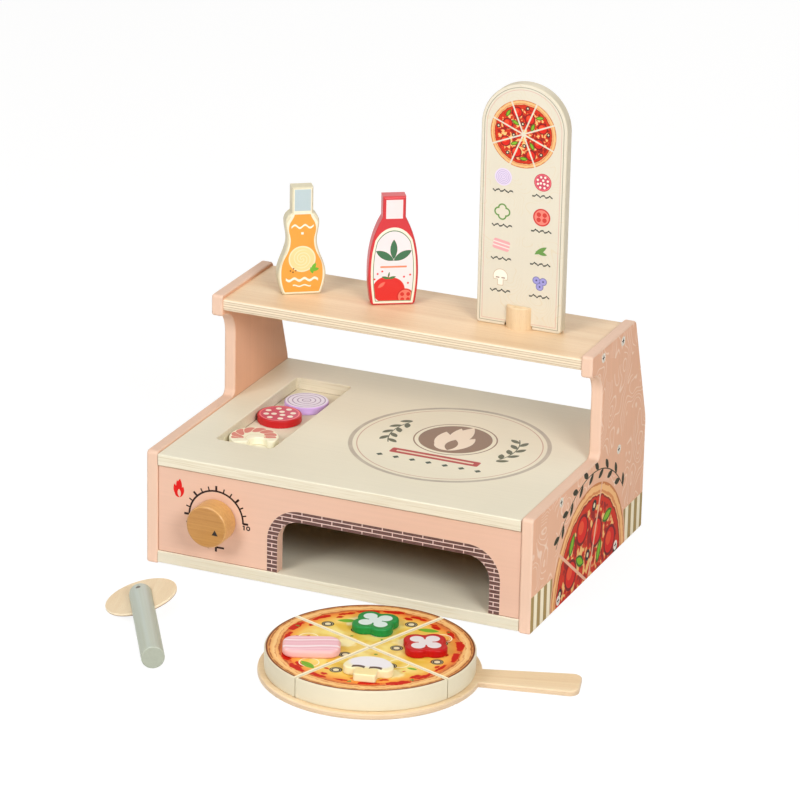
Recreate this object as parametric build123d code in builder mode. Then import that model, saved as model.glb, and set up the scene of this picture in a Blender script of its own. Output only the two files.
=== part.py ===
from build123d import *

import os
from math import asin, atan2, cos, hypot, radians, sin, tan

# Wooden toy pizza oven with its play food, sauce bottles, menu sign, peel and cutter.
#
# Millimetres. X runs to the right along the front, Y from the front to the back, Z up.
# The origin is the middle of the cabinet's footprint, on the table top.

os.makedirs("parts", exist_ok=True)

# ---------------------------------------------------------------- driving dimensions

# cabinet
cabinet_width = 400.0       # across the outer faces of the two side panels
cabinet_depth = 298.0       # front edge to back edge
board = 12.0                # thickness of every painted board
hob_top = 114.3             # table top to the top of the hob
shelf_top = 226.0           # table top to the top of the shelf
table_gap = 1.8             # bottom board above the table top
edge_round = 1.5            # softened edge of a painted board
side_round = 2.2            # softened edge of a side panel

# side panels
rim_rise = 2.3              # low front of a side panel above the hob
ear_rise = 4.0              # top of a side panel above the shelf
ear_drop = 6.0              # underside of the ear below the shelf
ear_reach = 29.9            # ear in front of the post
ear_lip = 2.2               # ear in front of the shelf
ear_fillet = 26.0           # hollow between the post and the ear
ear_corner = 3.0            # front corners of the ear
rim_corner = 4.0            # front top corner of the low rim
foot_corner = 3.0           # bottom corners
back_bend = 40.0            # soft bend where the back edge starts to lean
top_setback = 39.0          # top of a side panel in from its back edge
top_corner = 6.0            # back top corner
post_root = 6.5             # hollow where the post meets the low rim

# shelf
shelf_depth = 115.4
shelf_round = 2.5           # rounded long edges

# topping tray cut in the hob
tray_wall = 32.0            # hob between the left side panel and the tray
tray_front = 61.0           # hob in front of the tray
tray_width = 60.0
tray_length = 189.0
tray_corner = 5.0
tray_rim = 1.2              # softened rim
tray_plate = 3.0            # plywood plate under the tray
tray_plate_lap = 8.0        # glued lap around the tray

# front and back panels
panel_recess = 2.0          # panels stand in from the front and back edges
control_width = 126.4       # front panel to the left of the oven mouth
mouth_pier = 31.0           # front panel to the right of the oven mouth
mouth_height = 55.7
mouth_corner = 23.0

# dowels that hold the front and back panels between the boards
dowel_r = 3.0
dowel_in_panel = 12.0
dowel_in_board = 8.0
dowel_inset = 25.0          # outermost dowels in from the side panels
glue_gap = 0.05             # around a glued dowel or a screw in wood

# wood screws through the side panels
screw_shank_r = 2.0
screw_head_r = 4.8
screw_head_angle = 90.0     # degrees
screw_length = 32.0
screw_recess_depth = 1.3
screw_recess_length = 5.4
screw_recess_width = 1.4
board_screw_front = 71.5    # front screw in from the front edge
board_screw_back = 74.5     # back screw in from the back edge
shelf_screw_front = 27.4    # front screw in from the shelf's front edge
shelf_screw_pitch = 52.5

# knob
knob_r = 21.2
knob_length = 22.7
knob_round = 2.5
knob_from_side = 61.6       # knob axis to the left side panel
knob_above_floor = 43.2     # knob axis to the oven floor
knob_screw_r = 2.0
knob_pilot_depth = 15.0
knob_screw_head_r = 4.6
knob_screw_head = 2.8
washer_r = 8.0
washer_thick = 1.2
running_gap = 0.08          # radial play of a turning piece
side_play = 0.3             # end play of a turning piece

# menu sign and its post
sign_width = 88.0
sign_height = 244.5
sign_thick = 12.0
sign_corner = 4.0           # bottom corners
sign_round = 1.5
sign_from_side = 86.5       # middle of the sign to the right side panel
sign_from_front = 59.4      # middle of the sign to the shelf's front edge
post_r = 14.2
post_height = 22.5
post_web = 4.0              # solid wood under the post's slot
post_round = 1.2
post_spigot_r = 4.0
post_spigot = 8.0
sign_play = 0.2             # sign to post, each face

# sauce bottles
bottle_thick = 16.0
bottle_round = 2.2
yellow_height = 110.5
yellow_base = 37.2          # widths
yellow_belly = 47.2
yellow_waist = 29.2
yellow_chest = 32.8
yellow_neck = 21.2
yellow_belly_z = 24.0       # heights above the shelf
yellow_waist_z = 55.5
yellow_chest_z = 69.0
yellow_neck_z = 84.5
yellow_foot_lean = 24.0     # degrees from upright, outwards
yellow_neck_lean = -60.0    # degrees
yellow_from_side = 58.2     # middle of the base to the left side panel
yellow_from_front = 53.7    # middle of the base to the shelf's front edge
yellow_turn = 34.5          # degrees turned about Z
red_height = 111.3
red_base = 43.0
red_belly = 49.0
red_shoulder = 41.2
red_neck = 22.8
red_belly_z = 38.0
red_shoulder_z = 66.8
red_neck_z = 89.5
red_foot_lean = 10.0        # degrees
red_neck_lean = -30.0       # degrees
red_from_side = 150.8
red_from_front = 66.1
red_turn = 31.6             # degrees
bottle_cap_corner = 2.8
bottle_foot_corner = 3.5
bottle_neck_hollow = 1.5

# play food
topping_thick = 8.0
topping_round = 1.3
topping_turn = 26.0         # degrees, the lie of the pieces in the tray
ham_turn = 23.0             # degrees
green_pepper_turn = 5.0     # degrees
red_pepper_turn = 28.0      # degrees
disc_r = 22.0               # pepperoni and onion
pepperoni_in_tray = (22.6, 98.5)    # from the tray's left wall and front wall
onion_in_tray = (31.2, 143.6)
shrimp_in_tray = (25.8, 32.5)
shrimp_r = 24.0
shrimp_foot = 15.0          # flat foot below the middle of the curl
shrimp_hollow_r = 9.0
shrimp_hollow_shift = 3.5   # hollow to the right of the middle
shrimp_hollow_drop = 13.0
shrimp_corner = 3.0
ham_length = 53.0
ham_width = 36.0
ham_corner = 12.0
ham_round = 3.0
pepper_lobe_r = 11.2
pepper_lobe_from_middle = 11.7  # middle of a lobe to the middle of the pepper
pepper_hollow = 4.0
pepper_round = 1.8
mushroom_turn = 12.0        # degrees
mushroom_width = 46.0
mushroom_cap = 29.0
mushroom_cap_corner = 7.5
mushroom_brim_rise = 8.0    # widest part of the cap above its foot
mushroom_stem = 21.0
mushroom_stem_drop = 12.0
mushroom_stem_corner = 2.5

# pizza in four slices on the peel
pizza_r = 97.0
pizza_thick = 20.0
pizza_round = 1.3
pizza_cut = 1.0             # saw cut between two slices
pizza_turn = -20.3          # degrees, direction of the first cut
red_pepper_at = (50.4, 18.0)    # distance and degrees from the middle of the pizza
green_pepper_at = (42.7, 107.7)
ham_at = (54.8, 215.6)
mushroom_at = (52.0, 293.4)

# peel
peel_r = 103.0
peel_thick = 5.5
peel_round = 1.5
peel_reach = 193.5          # middle of the disc to the end of the handle
peel_neck = 31.0            # handle width where it leaves the disc
peel_grip = 41.0            # handle width at its end
peel_neck_fillet = 9.0
peel_grip_corner = 9.0
peel_turn = 15.6            # degrees
peel_from_front = 140.5     # middle of the disc in front of the cabinet
peel_from_side = 101.0      # middle of the disc in from the cabinet's right side

# cutter
cutter_handle_r = 11.0
cutter_length = 154.4
cutter_nose_round = 9.5
cutter_end_round = 1.5
cutter_wheel_r = 35.0
cutter_wheel_thick = 3.0
cutter_wheel_round = 0.9
cutter_wheel_from_nose = 15.0
cutter_wheel_gap = 0.4      # each side of the wheel in the slot
cutter_slot_end = 2.0       # slot past the wheel's rim
cutter_wheel_clear = 0.2    # wheel above the table
cutter_pin_r = 2.5
cutter_pin_sink = 0.8       # both ends together, below the handle's surface
cutter_pin_chamfer = 0.3
cutter_turn = 121.2         # degrees
cutter_from_side = 117.6    # butt of the handle in from the cabinet's left side
cutter_from_front = 220.6   # butt of the handle in front of the cabinet

# ---------------------------------------------------------------- places worked out from them

right_x = cabinet_width / 2
left_x = -right_x
inner_right = right_x - board
inner_left = left_x + board
inner_width = inner_right - inner_left
back_y = cabinet_depth / 2
front_y = -back_y

floor_top = table_gap + board
hob_under = hob_top - board
shelf_under = shelf_top - board
rim_top = hob_top + rim_rise
panel_top = shelf_top + ear_rise
ear_under = shelf_under - ear_drop
panel_height = hob_under - floor_top

shelf_back = back_y - top_setback
shelf_front = shelf_back - shelf_depth
ear_front = shelf_front - ear_lip
post_front = ear_front + ear_reach

front_panel_y = front_y + panel_recess
back_panel_y = back_y - panel_recess - board

tray_left = inner_left + tray_wall
tray_front_y = front_y + tray_front
tray_floor_top = hob_under

knob_x = inner_left + knob_from_side
knob_z = floor_top + knob_above_floor

sign_x = inner_right - sign_from_side
sign_y = shelf_front + sign_from_front

peel_x = right_x - peel_from_side
peel_y = front_y - peel_from_front
slice_top = peel_thick + pizza_thick


def write(part, label):
    """Name a finished piece and write it to its own STEP file."""
    part.label = label
    export_step(part, f"parts/{label}.step")


# ---------------------------------------------------------------- screw and dowel places

board_screw_ys = (front_y + board_screw_front, back_y - board_screw_back)
shelf_screw_ys = (
    shelf_front + shelf_screw_front,
    shelf_front + shelf_screw_front + shelf_screw_pitch,
)
hob_screws = [(y, hob_under + board / 2) for y in board_screw_ys]
bottom_screws = [(y, table_gap + board / 2) for y in board_screw_ys]
shelf_screws = [(y, shelf_under + board / 2) for y in shelf_screw_ys]


def side_planes(outward, places):
    """Planes on a side panel's outer face, one at each (y, z), looking outwards."""
    return [
        Plane(origin=(outward * right_x, y, z), x_dir=(0, 1, 0), z_dir=(outward, 0, 0))
        for y, z in places
    ]


def screw_pilots(places):
    """Cut the pilot holes of the screws at both ends of a board."""
    with Locations(*side_planes(1, places), *side_planes(-1, places)):
        Hole(screw_shank_r + glue_gap, depth=screw_length + glue_gap)


control_mid = inner_left + control_width - dowel_inset
pier_mid = inner_right - mouth_pier / 2
front_low_dowels = (inner_left + dowel_inset, control_mid, pier_mid)
spread_dowels = (inner_left + dowel_inset, 0, inner_right - dowel_inset)
front_dowel_y = front_panel_y + board / 2
back_dowel_y = back_panel_y + board / 2


def dowel_planes(y, low_xs, high_xs):
    """Planes at the joints of a panel, looking into the bottom board and into the hob."""
    low = [Plane(origin=(x, y, floor_top), z_dir=(0, 0, -1)) for x in low_xs]
    high = [Plane(origin=(x, y, hob_under), z_dir=(0, 0, 1)) for x in high_xs]
    return low, high


front_low, front_high = dowel_planes(front_dowel_y, front_low_dowels, spread_dowels)
back_low, back_high = dowel_planes(back_dowel_y, spread_dowels, spread_dowels)


def dowel_sockets(planes, toward):
    """Cut dowel sockets; toward is 1 into a board and -1 into the panel between the boards."""
    depth = (dowel_in_board if toward > 0 else dowel_in_panel) + glue_gap
    ends = (Align.MIN if toward > 0 else Align.MAX)
    with Locations(*planes):
        Cylinder(
            dowel_r + glue_gap,
            depth,
            align=(Align.CENTER, Align.CENTER, ends),
            mode=Mode.SUBTRACT,
        )


# ---------------------------------------------------------------- side panels

panel_outline = (
    ((front_y, 0), foot_corner),
    ((front_y, rim_top), rim_corner),
    ((post_front, rim_top), post_root),
    ((post_front, ear_under), ear_fillet),
    ((ear_front, ear_under), ear_corner),
    ((ear_front, panel_top), ear_corner),
    ((shelf_back, panel_top), top_corner),
    ((back_y, rim_top), back_bend),
    ((back_y, 0), foot_corner),
)

for label, outward in (("left_side_panel", -1), ("right_side_panel", 1)):
    with BuildPart() as side_panel:
        with BuildSketch(Plane.YZ.offset(outward * inner_right)):
            with BuildLine():
                FilletPolyline(
                    *[point for point, radius in panel_outline],
                    radius=[radius for point, radius in panel_outline],
                    close=True,
                )
            make_face()
        extrude(amount=outward * board)
        fillet(side_panel.faces().filter_by(Axis.X).edges(), radius=side_round)
        with Locations(*side_planes(outward, hob_screws + bottom_screws + shelf_screws)):
            CounterSinkHole(
                screw_shank_r + glue_gap,
                screw_head_r + glue_gap,
                depth=board,
                counter_sink_angle=screw_head_angle,
            )
    write(side_panel.part, label)

# ---------------------------------------------------------------- boards

with BuildPart() as hob_board:
    with Locations((0, 0, hob_under)):
        Box(inner_width, cabinet_depth, board, align=(Align.CENTER, Align.CENTER, Align.MIN))
    fillet(hob_board.edges().filter_by(Axis.X), radius=edge_round)
    with BuildSketch(Plane.XY.offset(hob_top)):
        with Locations((tray_left + tray_width / 2, tray_front_y + tray_length / 2)):
            RectangleRounded(tray_width, tray_length, tray_corner)
    extrude(amount=-board, mode=Mode.SUBTRACT)
    tray_rim_edges = hob_board.faces().sort_by(Axis.Z)[-1].inner_wires()[0].edges()
    fillet(tray_rim_edges, radius=tray_rim)
    screw_pilots(hob_screws)
    dowel_sockets(front_high + back_high, 1)
write(hob_board.part, "hob_board")

with BuildPart() as tray_floor:
    with Locations((
        tray_left + tray_width / 2,
        tray_front_y + tray_length / 2,
        tray_floor_top,
    )):
        Box(
            tray_width + 2 * tray_plate_lap,
            tray_length + 2 * tray_plate_lap,
            tray_plate,
            align=(Align.CENTER, Align.CENTER, Align.MAX),
        )
    fillet(tray_floor.edges().filter_by(Axis.Z), radius=tray_corner)
write(tray_floor.part, "tray_floor")

with BuildPart() as bottom_board:
    with Locations((0, 0, table_gap)):
        Box(inner_width, cabinet_depth, board, align=(Align.CENTER, Align.CENTER, Align.MIN))
    fillet(bottom_board.edges().filter_by(Axis.X), radius=edge_round)
    screw_pilots(bottom_screws)
    dowel_sockets(front_low + back_low, 1)
write(bottom_board.part, "bottom_board")

with BuildPart() as shelf_board:
    with Locations((0, shelf_front, shelf_under)):
        Box(inner_width, shelf_depth, board, align=(Align.CENTER, Align.MIN, Align.MIN))
    fillet(shelf_board.edges().filter_by(Axis.X), radius=shelf_round)
    screw_pilots(shelf_screws)
    with Locations((sign_x, sign_y, shelf_top)):
        Hole(post_spigot_r + glue_gap, depth=post_spigot + glue_gap)
write(shelf_board.part, "shelf_board")

# ---------------------------------------------------------------- front and back panels

mouth_left = inner_left + control_width
mouth_right = inner_right - mouth_pier
mouth_top = floor_top + mouth_height

with BuildPart() as front_panel:
    with Locations((0, front_panel_y, floor_top)):
        Box(inner_width, board, panel_height, align=(Align.CENTER, Align.MIN, Align.MIN))
    with BuildSketch(Plane.XZ.offset(-front_panel_y)):
        with BuildLine():
            FilletPolyline(
                (mouth_left, floor_top),
                (mouth_left, mouth_top),
                (mouth_right, mouth_top),
                (mouth_right, floor_top),
                radius=mouth_corner,
            )
            Line((mouth_right, floor_top), (mouth_left, floor_top))
        make_face()
    extrude(amount=-board, mode=Mode.SUBTRACT)
    with Locations(Plane(origin=(knob_x, front_panel_y, knob_z), z_dir=(0, -1, 0))):
        Hole(knob_screw_r + running_gap, depth=board)
    dowel_sockets(front_low + front_high, -1)
write(front_panel.part, "front_panel")

with BuildPart() as back_panel:
    with Locations((0, back_panel_y, floor_top)):
        Box(inner_width, board, panel_height, align=(Align.CENTER, Align.MIN, Align.MIN))
    dowel_sockets(back_low + back_high, -1)
write(back_panel.part, "back_panel")

for label, planes in (
    ("front_panel_dowels", front_low + front_high),
    ("back_panel_dowels", back_low + back_high),
):
    with BuildPart() as dowels:
        with Locations(*[plane.offset(-dowel_in_panel) for plane in planes]):
            Cylinder(
                dowel_r,
                dowel_in_panel + dowel_in_board,
                align=(Align.CENTER, Align.CENTER, Align.MIN),
            )
        chamfer(dowels.edges(), length=dowel_r / 5)
    write(dowels.part, label)

# ---------------------------------------------------------------- side screws

screw_head = (screw_head_r - screw_shank_r) / tan(radians(screw_head_angle / 2))

with BuildPart() as wood_screw:
    with BuildSketch(Plane.XZ):
        with BuildLine():
            Polyline(
                (0, 0),
                (screw_head_r, 0),
                (screw_shank_r, -screw_head),
                (screw_shank_r, -screw_length + 2 * screw_shank_r),
                (0, -screw_length),
                close=True,
            )
        make_face()
    revolve(axis=Axis.Z)
    for turn in (0, 90):
        with Locations(Location((0, 0, 0), (0, 0, turn))):
            Box(
                screw_recess_length,
                screw_recess_width,
                screw_recess_depth,
                align=(Align.CENTER, Align.CENTER, Align.MAX),
                mode=Mode.SUBTRACT,
            )

for label, outward in (("side_screws_left", -1), ("side_screws_right", 1)):
    with BuildPart() as side_screws:
        with Locations(*side_planes(outward, hob_screws + bottom_screws + shelf_screws)):
            add(wood_screw.part)
    write(side_screws.part, label)

# ---------------------------------------------------------------- knob

knob_back = Plane(
    origin=(knob_x, front_panel_y - side_play, knob_z), x_dir=(1, 0, 0), z_dir=(0, -1, 0)
)
washer_front = Plane(
    origin=(knob_x, front_panel_y + board + side_play, knob_z),
    x_dir=(1, 0, 0),
    z_dir=(0, 1, 0),
)
knob_shank = knob_pilot_depth + side_play + board + side_play + washer_thick

with BuildPart(knob_back) as knob:
    Cylinder(knob_r, knob_length, align=(Align.CENTER, Align.CENTER, Align.MIN))
    fillet(knob.edges().sort_by(Axis.Y)[0], radius=knob_round)
    fillet(knob.edges().filter_by(GeomType.CIRCLE).sort_by(Axis.Y)[-1], radius=edge_round)
    Cylinder(
        knob_screw_r + glue_gap,
        knob_pilot_depth + glue_gap,
        align=(Align.CENTER, Align.CENTER, Align.MIN),
        mode=Mode.SUBTRACT,
    )
write(knob.part, "knob")

with BuildPart(washer_front) as knob_washer:
    Cylinder(washer_r, washer_thick, align=(Align.CENTER, Align.CENTER, Align.MIN))
    Cylinder(
        knob_screw_r + glue_gap,
        washer_thick,
        align=(Align.CENTER, Align.CENTER, Align.MIN),
        mode=Mode.SUBTRACT,
    )
write(knob_washer.part, "knob_washer")

with BuildPart(washer_front.offset(washer_thick)) as knob_screw:
    Cylinder(knob_screw_head_r, knob_screw_head, align=(Align.CENTER, Align.CENTER, Align.MIN))
    fillet(knob_screw.edges().sort_by(Axis.Y)[-1], radius=knob_screw_head / 3)
    Cylinder(knob_screw_r, knob_shank, align=(Align.CENTER, Align.CENTER, Align.MAX))
    with Locations((0, 0, knob_screw_head)):
        for turn in (0, 90):
            Box(
                screw_recess_length,
                screw_recess_width,
                screw_recess_depth,
                rotation=(0, 0, turn),
                align=(Align.CENTER, Align.CENTER, Align.MAX),
                mode=Mode.SUBTRACT,
            )
write(knob_screw.part, "knob_screw")

# ---------------------------------------------------------------- menu sign and its post

with BuildPart(Plane(origin=(sign_x, sign_y, shelf_top))) as sign_post:
    Cylinder(post_r, post_height, align=(Align.CENTER, Align.CENTER, Align.MIN))
    fillet(sign_post.edges().sort_by(Axis.Z)[-1], radius=post_round)
    with Locations((0, 0, post_web)):
        Box(
            2 * post_r,
            sign_thick + 2 * sign_play,
            post_height - post_web,
            align=(Align.CENTER, Align.CENTER, Align.MIN),
            mode=Mode.SUBTRACT,
        )
    Cylinder(post_spigot_r, post_spigot, align=(Align.CENTER, Align.CENTER, Align.MAX))
write(sign_post.part, "sign_post")

sign_spring = sign_height - sign_width / 2
sign_plane = Plane(
    origin=(sign_x, sign_y - sign_thick / 2, shelf_top), x_dir=(1, 0, 0), z_dir=(0, -1, 0)
)
notch_half = post_r + side_play
notch_top = post_web + side_play

with BuildPart() as sign_board:
    with BuildSketch(sign_plane) as sign_face:
        with Locations((0, sign_spring)):
            Circle(sign_width / 2)
        Rectangle(sign_width, sign_spring, align=(Align.CENTER, Align.MIN))
        fillet(sign_face.vertices().group_by(Axis.Y)[0], radius=sign_corner)
    extrude(amount=-sign_thick)
    fillet(sign_board.faces().filter_by(Axis.Y).edges(), radius=sign_round)
    with BuildSketch(sign_plane):
        Rectangle(2 * notch_half, notch_top, align=(Align.CENTER, Align.MIN))
    extrude(amount=-sign_thick, mode=Mode.SUBTRACT)
write(sign_board.part, "sign_board")

# ---------------------------------------------------------------- sauce bottles


def heading(turn):
    """Directions along and square to a horizontal line turned from +X, in degrees."""
    along = (cos(radians(turn)), sin(radians(turn)), 0)
    square = (sin(radians(turn)), -cos(radians(turn)), 0)
    return along, square


def round_rims(piece, axis, radius):
    """Soften the edges of a flat piece's two broad faces, which face along an axis."""
    fillet(piece.faces().filter_by(axis).edges(), radius=radius)


yellow_side = (
    (yellow_base / 2, 0),
    (yellow_belly / 2, yellow_belly_z),
    (yellow_waist / 2, yellow_waist_z),
    (yellow_chest / 2, yellow_chest_z),
    (yellow_neck / 2, yellow_neck_z),
)
red_side = (
    (red_base / 2, 0),
    (red_belly / 2, red_belly_z),
    (red_shoulder / 2, red_shoulder_z),
    (red_neck / 2, red_neck_z),
)

for label, side, leans, height, from_side, from_front, turn in (
    (
        "sauce_bottle_yellow", yellow_side, (yellow_foot_lean, yellow_neck_lean),
        yellow_height, yellow_from_side, yellow_from_front, yellow_turn,
    ),
    (
        "sauce_bottle_red", red_side, (red_foot_lean, red_neck_lean),
        red_height, red_from_side, red_from_front, red_turn,
    ),
):
    along, facing = heading(turn)
    bottle_plane = Plane(
        origin=(inner_left + from_side, shelf_front + from_front, shelf_top),
        x_dir=along,
        z_dir=facing,
    )
    cap_half = side[-1][0]
    with BuildPart() as bottle:
        with BuildSketch(bottle_plane) as bottle_face:
            with BuildLine():
                flank = Spline(
                    *side,
                    tangents=[(sin(radians(lean)), cos(radians(lean))) for lean in leans],
                )
                Polyline(flank @ 1, (cap_half, height), (0, height))
                Line((0, 0), flank @ 0)
                mirror(about=Plane.YZ)
            make_face()
            corners = bottle_face.vertices().filter_by(lambda corner: abs(corner.X) > bottle_round)
            fillet(corners.group_by(Axis.Y)[0], radius=bottle_foot_corner)
            fillet(corners.group_by(Axis.Y)[-1], radius=bottle_cap_corner)
            fillet(corners.group_by(Axis.Y)[1], radius=bottle_neck_hollow)
        extrude(amount=bottle_thick / 2, both=True)
        round_rims(bottle, Axis((0, 0, 0), facing), bottle_round)
    write(bottle.part, label)

# ---------------------------------------------------------------- play food in the tray


def in_tray(place, turn):
    """Plane on the tray's floor at a place from its left and front walls, turned about Z."""
    from_left, from_front = place
    return Plane(
        origin=(tray_left + from_left, tray_front_y + from_front, tray_floor_top),
        x_dir=heading(turn)[0],
        z_dir=(0, 0, 1),
    )


for label, place in (("pepperoni", pepperoni_in_tray), ("onion", onion_in_tray)):
    with BuildPart(in_tray(place, topping_turn)) as disc:
        Cylinder(disc_r, topping_thick, align=(Align.CENTER, Align.CENTER, Align.MIN))
        round_rims(disc, Axis.Z, topping_round)
    write(disc.part, label)

with BuildPart() as shrimp:
    with BuildSketch(in_tray(shrimp_in_tray, topping_turn)) as curl:
        Circle(shrimp_r)
        with Locations((0, -shrimp_foot)):
            Rectangle(
                2 * shrimp_r, shrimp_r, align=(Align.CENTER, Align.MAX), mode=Mode.SUBTRACT
            )
        with Locations((shrimp_hollow_shift, -shrimp_hollow_drop)):
            Circle(shrimp_hollow_r, mode=Mode.SUBTRACT)
        fillet(curl.vertices().group_by(Axis.Y)[0], radius=shrimp_corner)
    extrude(amount=topping_thick)
    round_rims(shrimp, Axis.Z, topping_round)
write(shrimp.part, "shrimp")

# ---------------------------------------------------------------- peel and pizza

peel_plane = Plane(origin=(peel_x, peel_y, 0), x_dir=heading(peel_turn)[0], z_dir=(0, 0, 1))
handle_flare = (peel_grip - peel_neck) / 2 / (peel_reach - peel_r)
handle_root = peel_r / 2
handle_root_half = peel_neck / 2 - handle_flare * (peel_r - handle_root)

with BuildPart() as peel:
    with BuildSketch(peel_plane) as peel_face:
        Circle(peel_r)
        with BuildLine():
            Polyline(
                (handle_root, -handle_root_half),
                (peel_reach, -peel_grip / 2),
                (peel_reach, peel_grip / 2),
                (handle_root, handle_root_half),
                close=True,
            )
        make_face()
        handle_ends = peel_face.vertices().group_by(Axis.X)
        fillet(handle_ends[-1], radius=peel_grip_corner)
        fillet(handle_ends[-2], radius=peel_neck_fillet)
    extrude(amount=peel_thick)
    round_rims(peel, Axis.Z, peel_round)
write(peel.part, "pizza_peel")


def on_pizza(place, turn):
    """Plane on top of the pizza at a distance and direction from its middle."""
    out, direction = place
    bearing = heading(direction)[0]
    return Plane(
        origin=(peel_x + out * bearing[0], peel_y + out * bearing[1], slice_top),
        x_dir=heading(turn)[0],
        z_dir=(0, 0, 1),
    )


for quarter, label in enumerate(("right", "back", "left", "front")):
    slice_plane = Plane(
        origin=(peel_x, peel_y, peel_thick),
        x_dir=heading(pizza_turn + 90 * quarter)[0],
        z_dir=(0, 0, 1),
    )
    with BuildPart() as pizza_slice:
        with BuildSketch(slice_plane):
            Circle(pizza_r)
            with Locations((pizza_cut / 2, pizza_cut / 2)):
                Rectangle(pizza_r, pizza_r, align=(Align.MIN, Align.MIN), mode=Mode.INTERSECT)
        extrude(amount=pizza_thick)
        round_rims(pizza_slice, Axis.Z, pizza_round)
    write(pizza_slice.part, f"pizza_slice_{label}")

with BuildPart() as ham:
    with BuildSketch(on_pizza(ham_at, ham_turn)):
        RectangleRounded(ham_length, ham_width, ham_corner)
    extrude(amount=topping_thick)
    round_rims(ham, Axis.Z, ham_round)
write(ham.part, "ham")

for label, place, turn in (
    ("green_pepper", green_pepper_at, green_pepper_turn),
    ("red_pepper", red_pepper_at, red_pepper_turn),
):
    with BuildPart() as pepper:
        with BuildSketch(on_pizza(place, turn)) as pepper_face:
            Circle(pepper_lobe_from_middle)
            with PolarLocations(pepper_lobe_from_middle, 4, start_angle=45):
                Circle(pepper_lobe_r)
            hollows = pepper_face.vertices().sort_by_distance((0, 0))[:4]
            fillet(hollows, radius=pepper_hollow)
        extrude(amount=topping_thick)
        round_rims(pepper, Axis.Z, pepper_round)
    write(pepper.part, label)

mushroom_brim = -mushroom_cap / 2 + mushroom_brim_rise

with BuildPart() as mushroom:
    with BuildSketch(on_pizza(mushroom_at, mushroom_turn)) as mushroom_face:
        with BuildLine():
            ThreePointArc(
                (-mushroom_width / 2, mushroom_brim),
                (0, mushroom_cap / 2),
                (mushroom_width / 2, mushroom_brim),
            )
            Polyline(
                (mushroom_width / 2, mushroom_brim),
                (mushroom_width / 2, -mushroom_cap / 2),
                (-mushroom_width / 2, -mushroom_cap / 2),
                (-mushroom_width / 2, mushroom_brim),
            )
        make_face()
        fillet(mushroom_face.vertices().group_by(Axis.Y)[0], radius=mushroom_cap_corner)
        with Locations((0, -mushroom_cap / 2 - mushroom_stem_drop)):
            Rectangle(
                mushroom_stem,
                mushroom_stem_drop + mushroom_cap / 2,
                align=(Align.CENTER, Align.MIN),
            )
        stem_corners = mushroom_face.vertices().filter_by(
            lambda corner: abs(abs(corner.X) - mushroom_stem / 2) < mushroom_stem_corner / 4
        )
        fillet(stem_corners, radius=mushroom_stem_corner)
    extrude(amount=topping_thick)
    round_rims(mushroom, Axis.Z, topping_round)
write(mushroom.part, "mushroom")

# ---------------------------------------------------------------- cutter

cutter_along, cutter_across = heading(cutter_turn)

# The wheel leans until its rounded rim just clears the table beside the lying handle.
lean_reach = cutter_wheel_r - cutter_wheel_round
lean_half = cutter_wheel_thick / 2 - cutter_wheel_round
lean_drop = cutter_handle_r - cutter_wheel_round - cutter_wheel_clear
cutter_lean = asin(lean_drop / hypot(lean_reach, lean_half)) - atan2(lean_half, lean_reach)
wheel_normal = (
    -sin(cutter_lean) * cutter_across[0],
    -sin(cutter_lean) * cutter_across[1],
    cos(cutter_lean),
)

butt_plane = Plane(
    origin=(left_x + cutter_from_side, front_y - cutter_from_front, cutter_handle_r),
    x_dir=wheel_normal,
    z_dir=cutter_along,
)
nose_plane = butt_plane.offset(cutter_length)
hub_plane = Plane(
    origin=butt_plane.offset(cutter_length - cutter_wheel_from_nose).origin,
    x_dir=cutter_along,
    z_dir=wheel_normal,
)

with BuildPart(butt_plane) as cutter_handle:
    Cylinder(
        cutter_handle_r, cutter_length, align=(Align.CENTER, Align.CENTER, Align.MIN)
    )
    rims = cutter_handle.edges().filter_by(GeomType.CIRCLE)
    butt_rim, nose_rim = rims.sort_by(Axis(butt_plane.origin, butt_plane.z_dir))
    fillet(nose_rim, radius=cutter_nose_round)
    fillet(butt_rim, radius=cutter_end_round)
    with Locations((0, 0, cutter_length)):
        Box(
            cutter_wheel_thick + 2 * cutter_wheel_gap,
            2 * cutter_handle_r,
            cutter_wheel_from_nose + cutter_wheel_r + cutter_slot_end,
            align=(Align.CENTER, Align.CENTER, Align.MAX),
            mode=Mode.SUBTRACT,
        )
    with Locations((0, 0, cutter_length - cutter_wheel_from_nose)):
        Cylinder(
            cutter_pin_r + glue_gap,
            2 * cutter_handle_r,
            rotation=(0, 90, 0),
            mode=Mode.SUBTRACT,
        )
write(cutter_handle.part, "cutter_handle")

with BuildPart(hub_plane) as cutter_wheel:
    Cylinder(cutter_wheel_r, cutter_wheel_thick)
    fillet(cutter_wheel.edges().filter_by(GeomType.CIRCLE), radius=cutter_wheel_round)
    Cylinder(cutter_pin_r + running_gap, cutter_wheel_thick, mode=Mode.SUBTRACT)
write(cutter_wheel.part, "cutter_wheel")

with BuildPart(hub_plane) as cutter_pin:
    Cylinder(cutter_pin_r, 2 * cutter_handle_r - cutter_pin_sink)
    chamfer(cutter_pin.edges().filter_by(GeomType.CIRCLE), length=cutter_pin_chamfer)
write(cutter_pin.part, "cutter_pin")
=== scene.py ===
"""Wooden toy pizza oven: its paints, clear woods, printed decoration, studio and camera.

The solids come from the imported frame, in metres. Prints and grain are written in millimetres
from the middle of the oven's footprint: x to the right, y to the back, z up.
"""

from __future__ import annotations

import logging
import math
from dataclasses import dataclass
from enum import Enum
from functools import reduce
from typing import Callable, Iterable, Optional, Union

import bpy
from mathutils import Matrix, Vector


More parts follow.
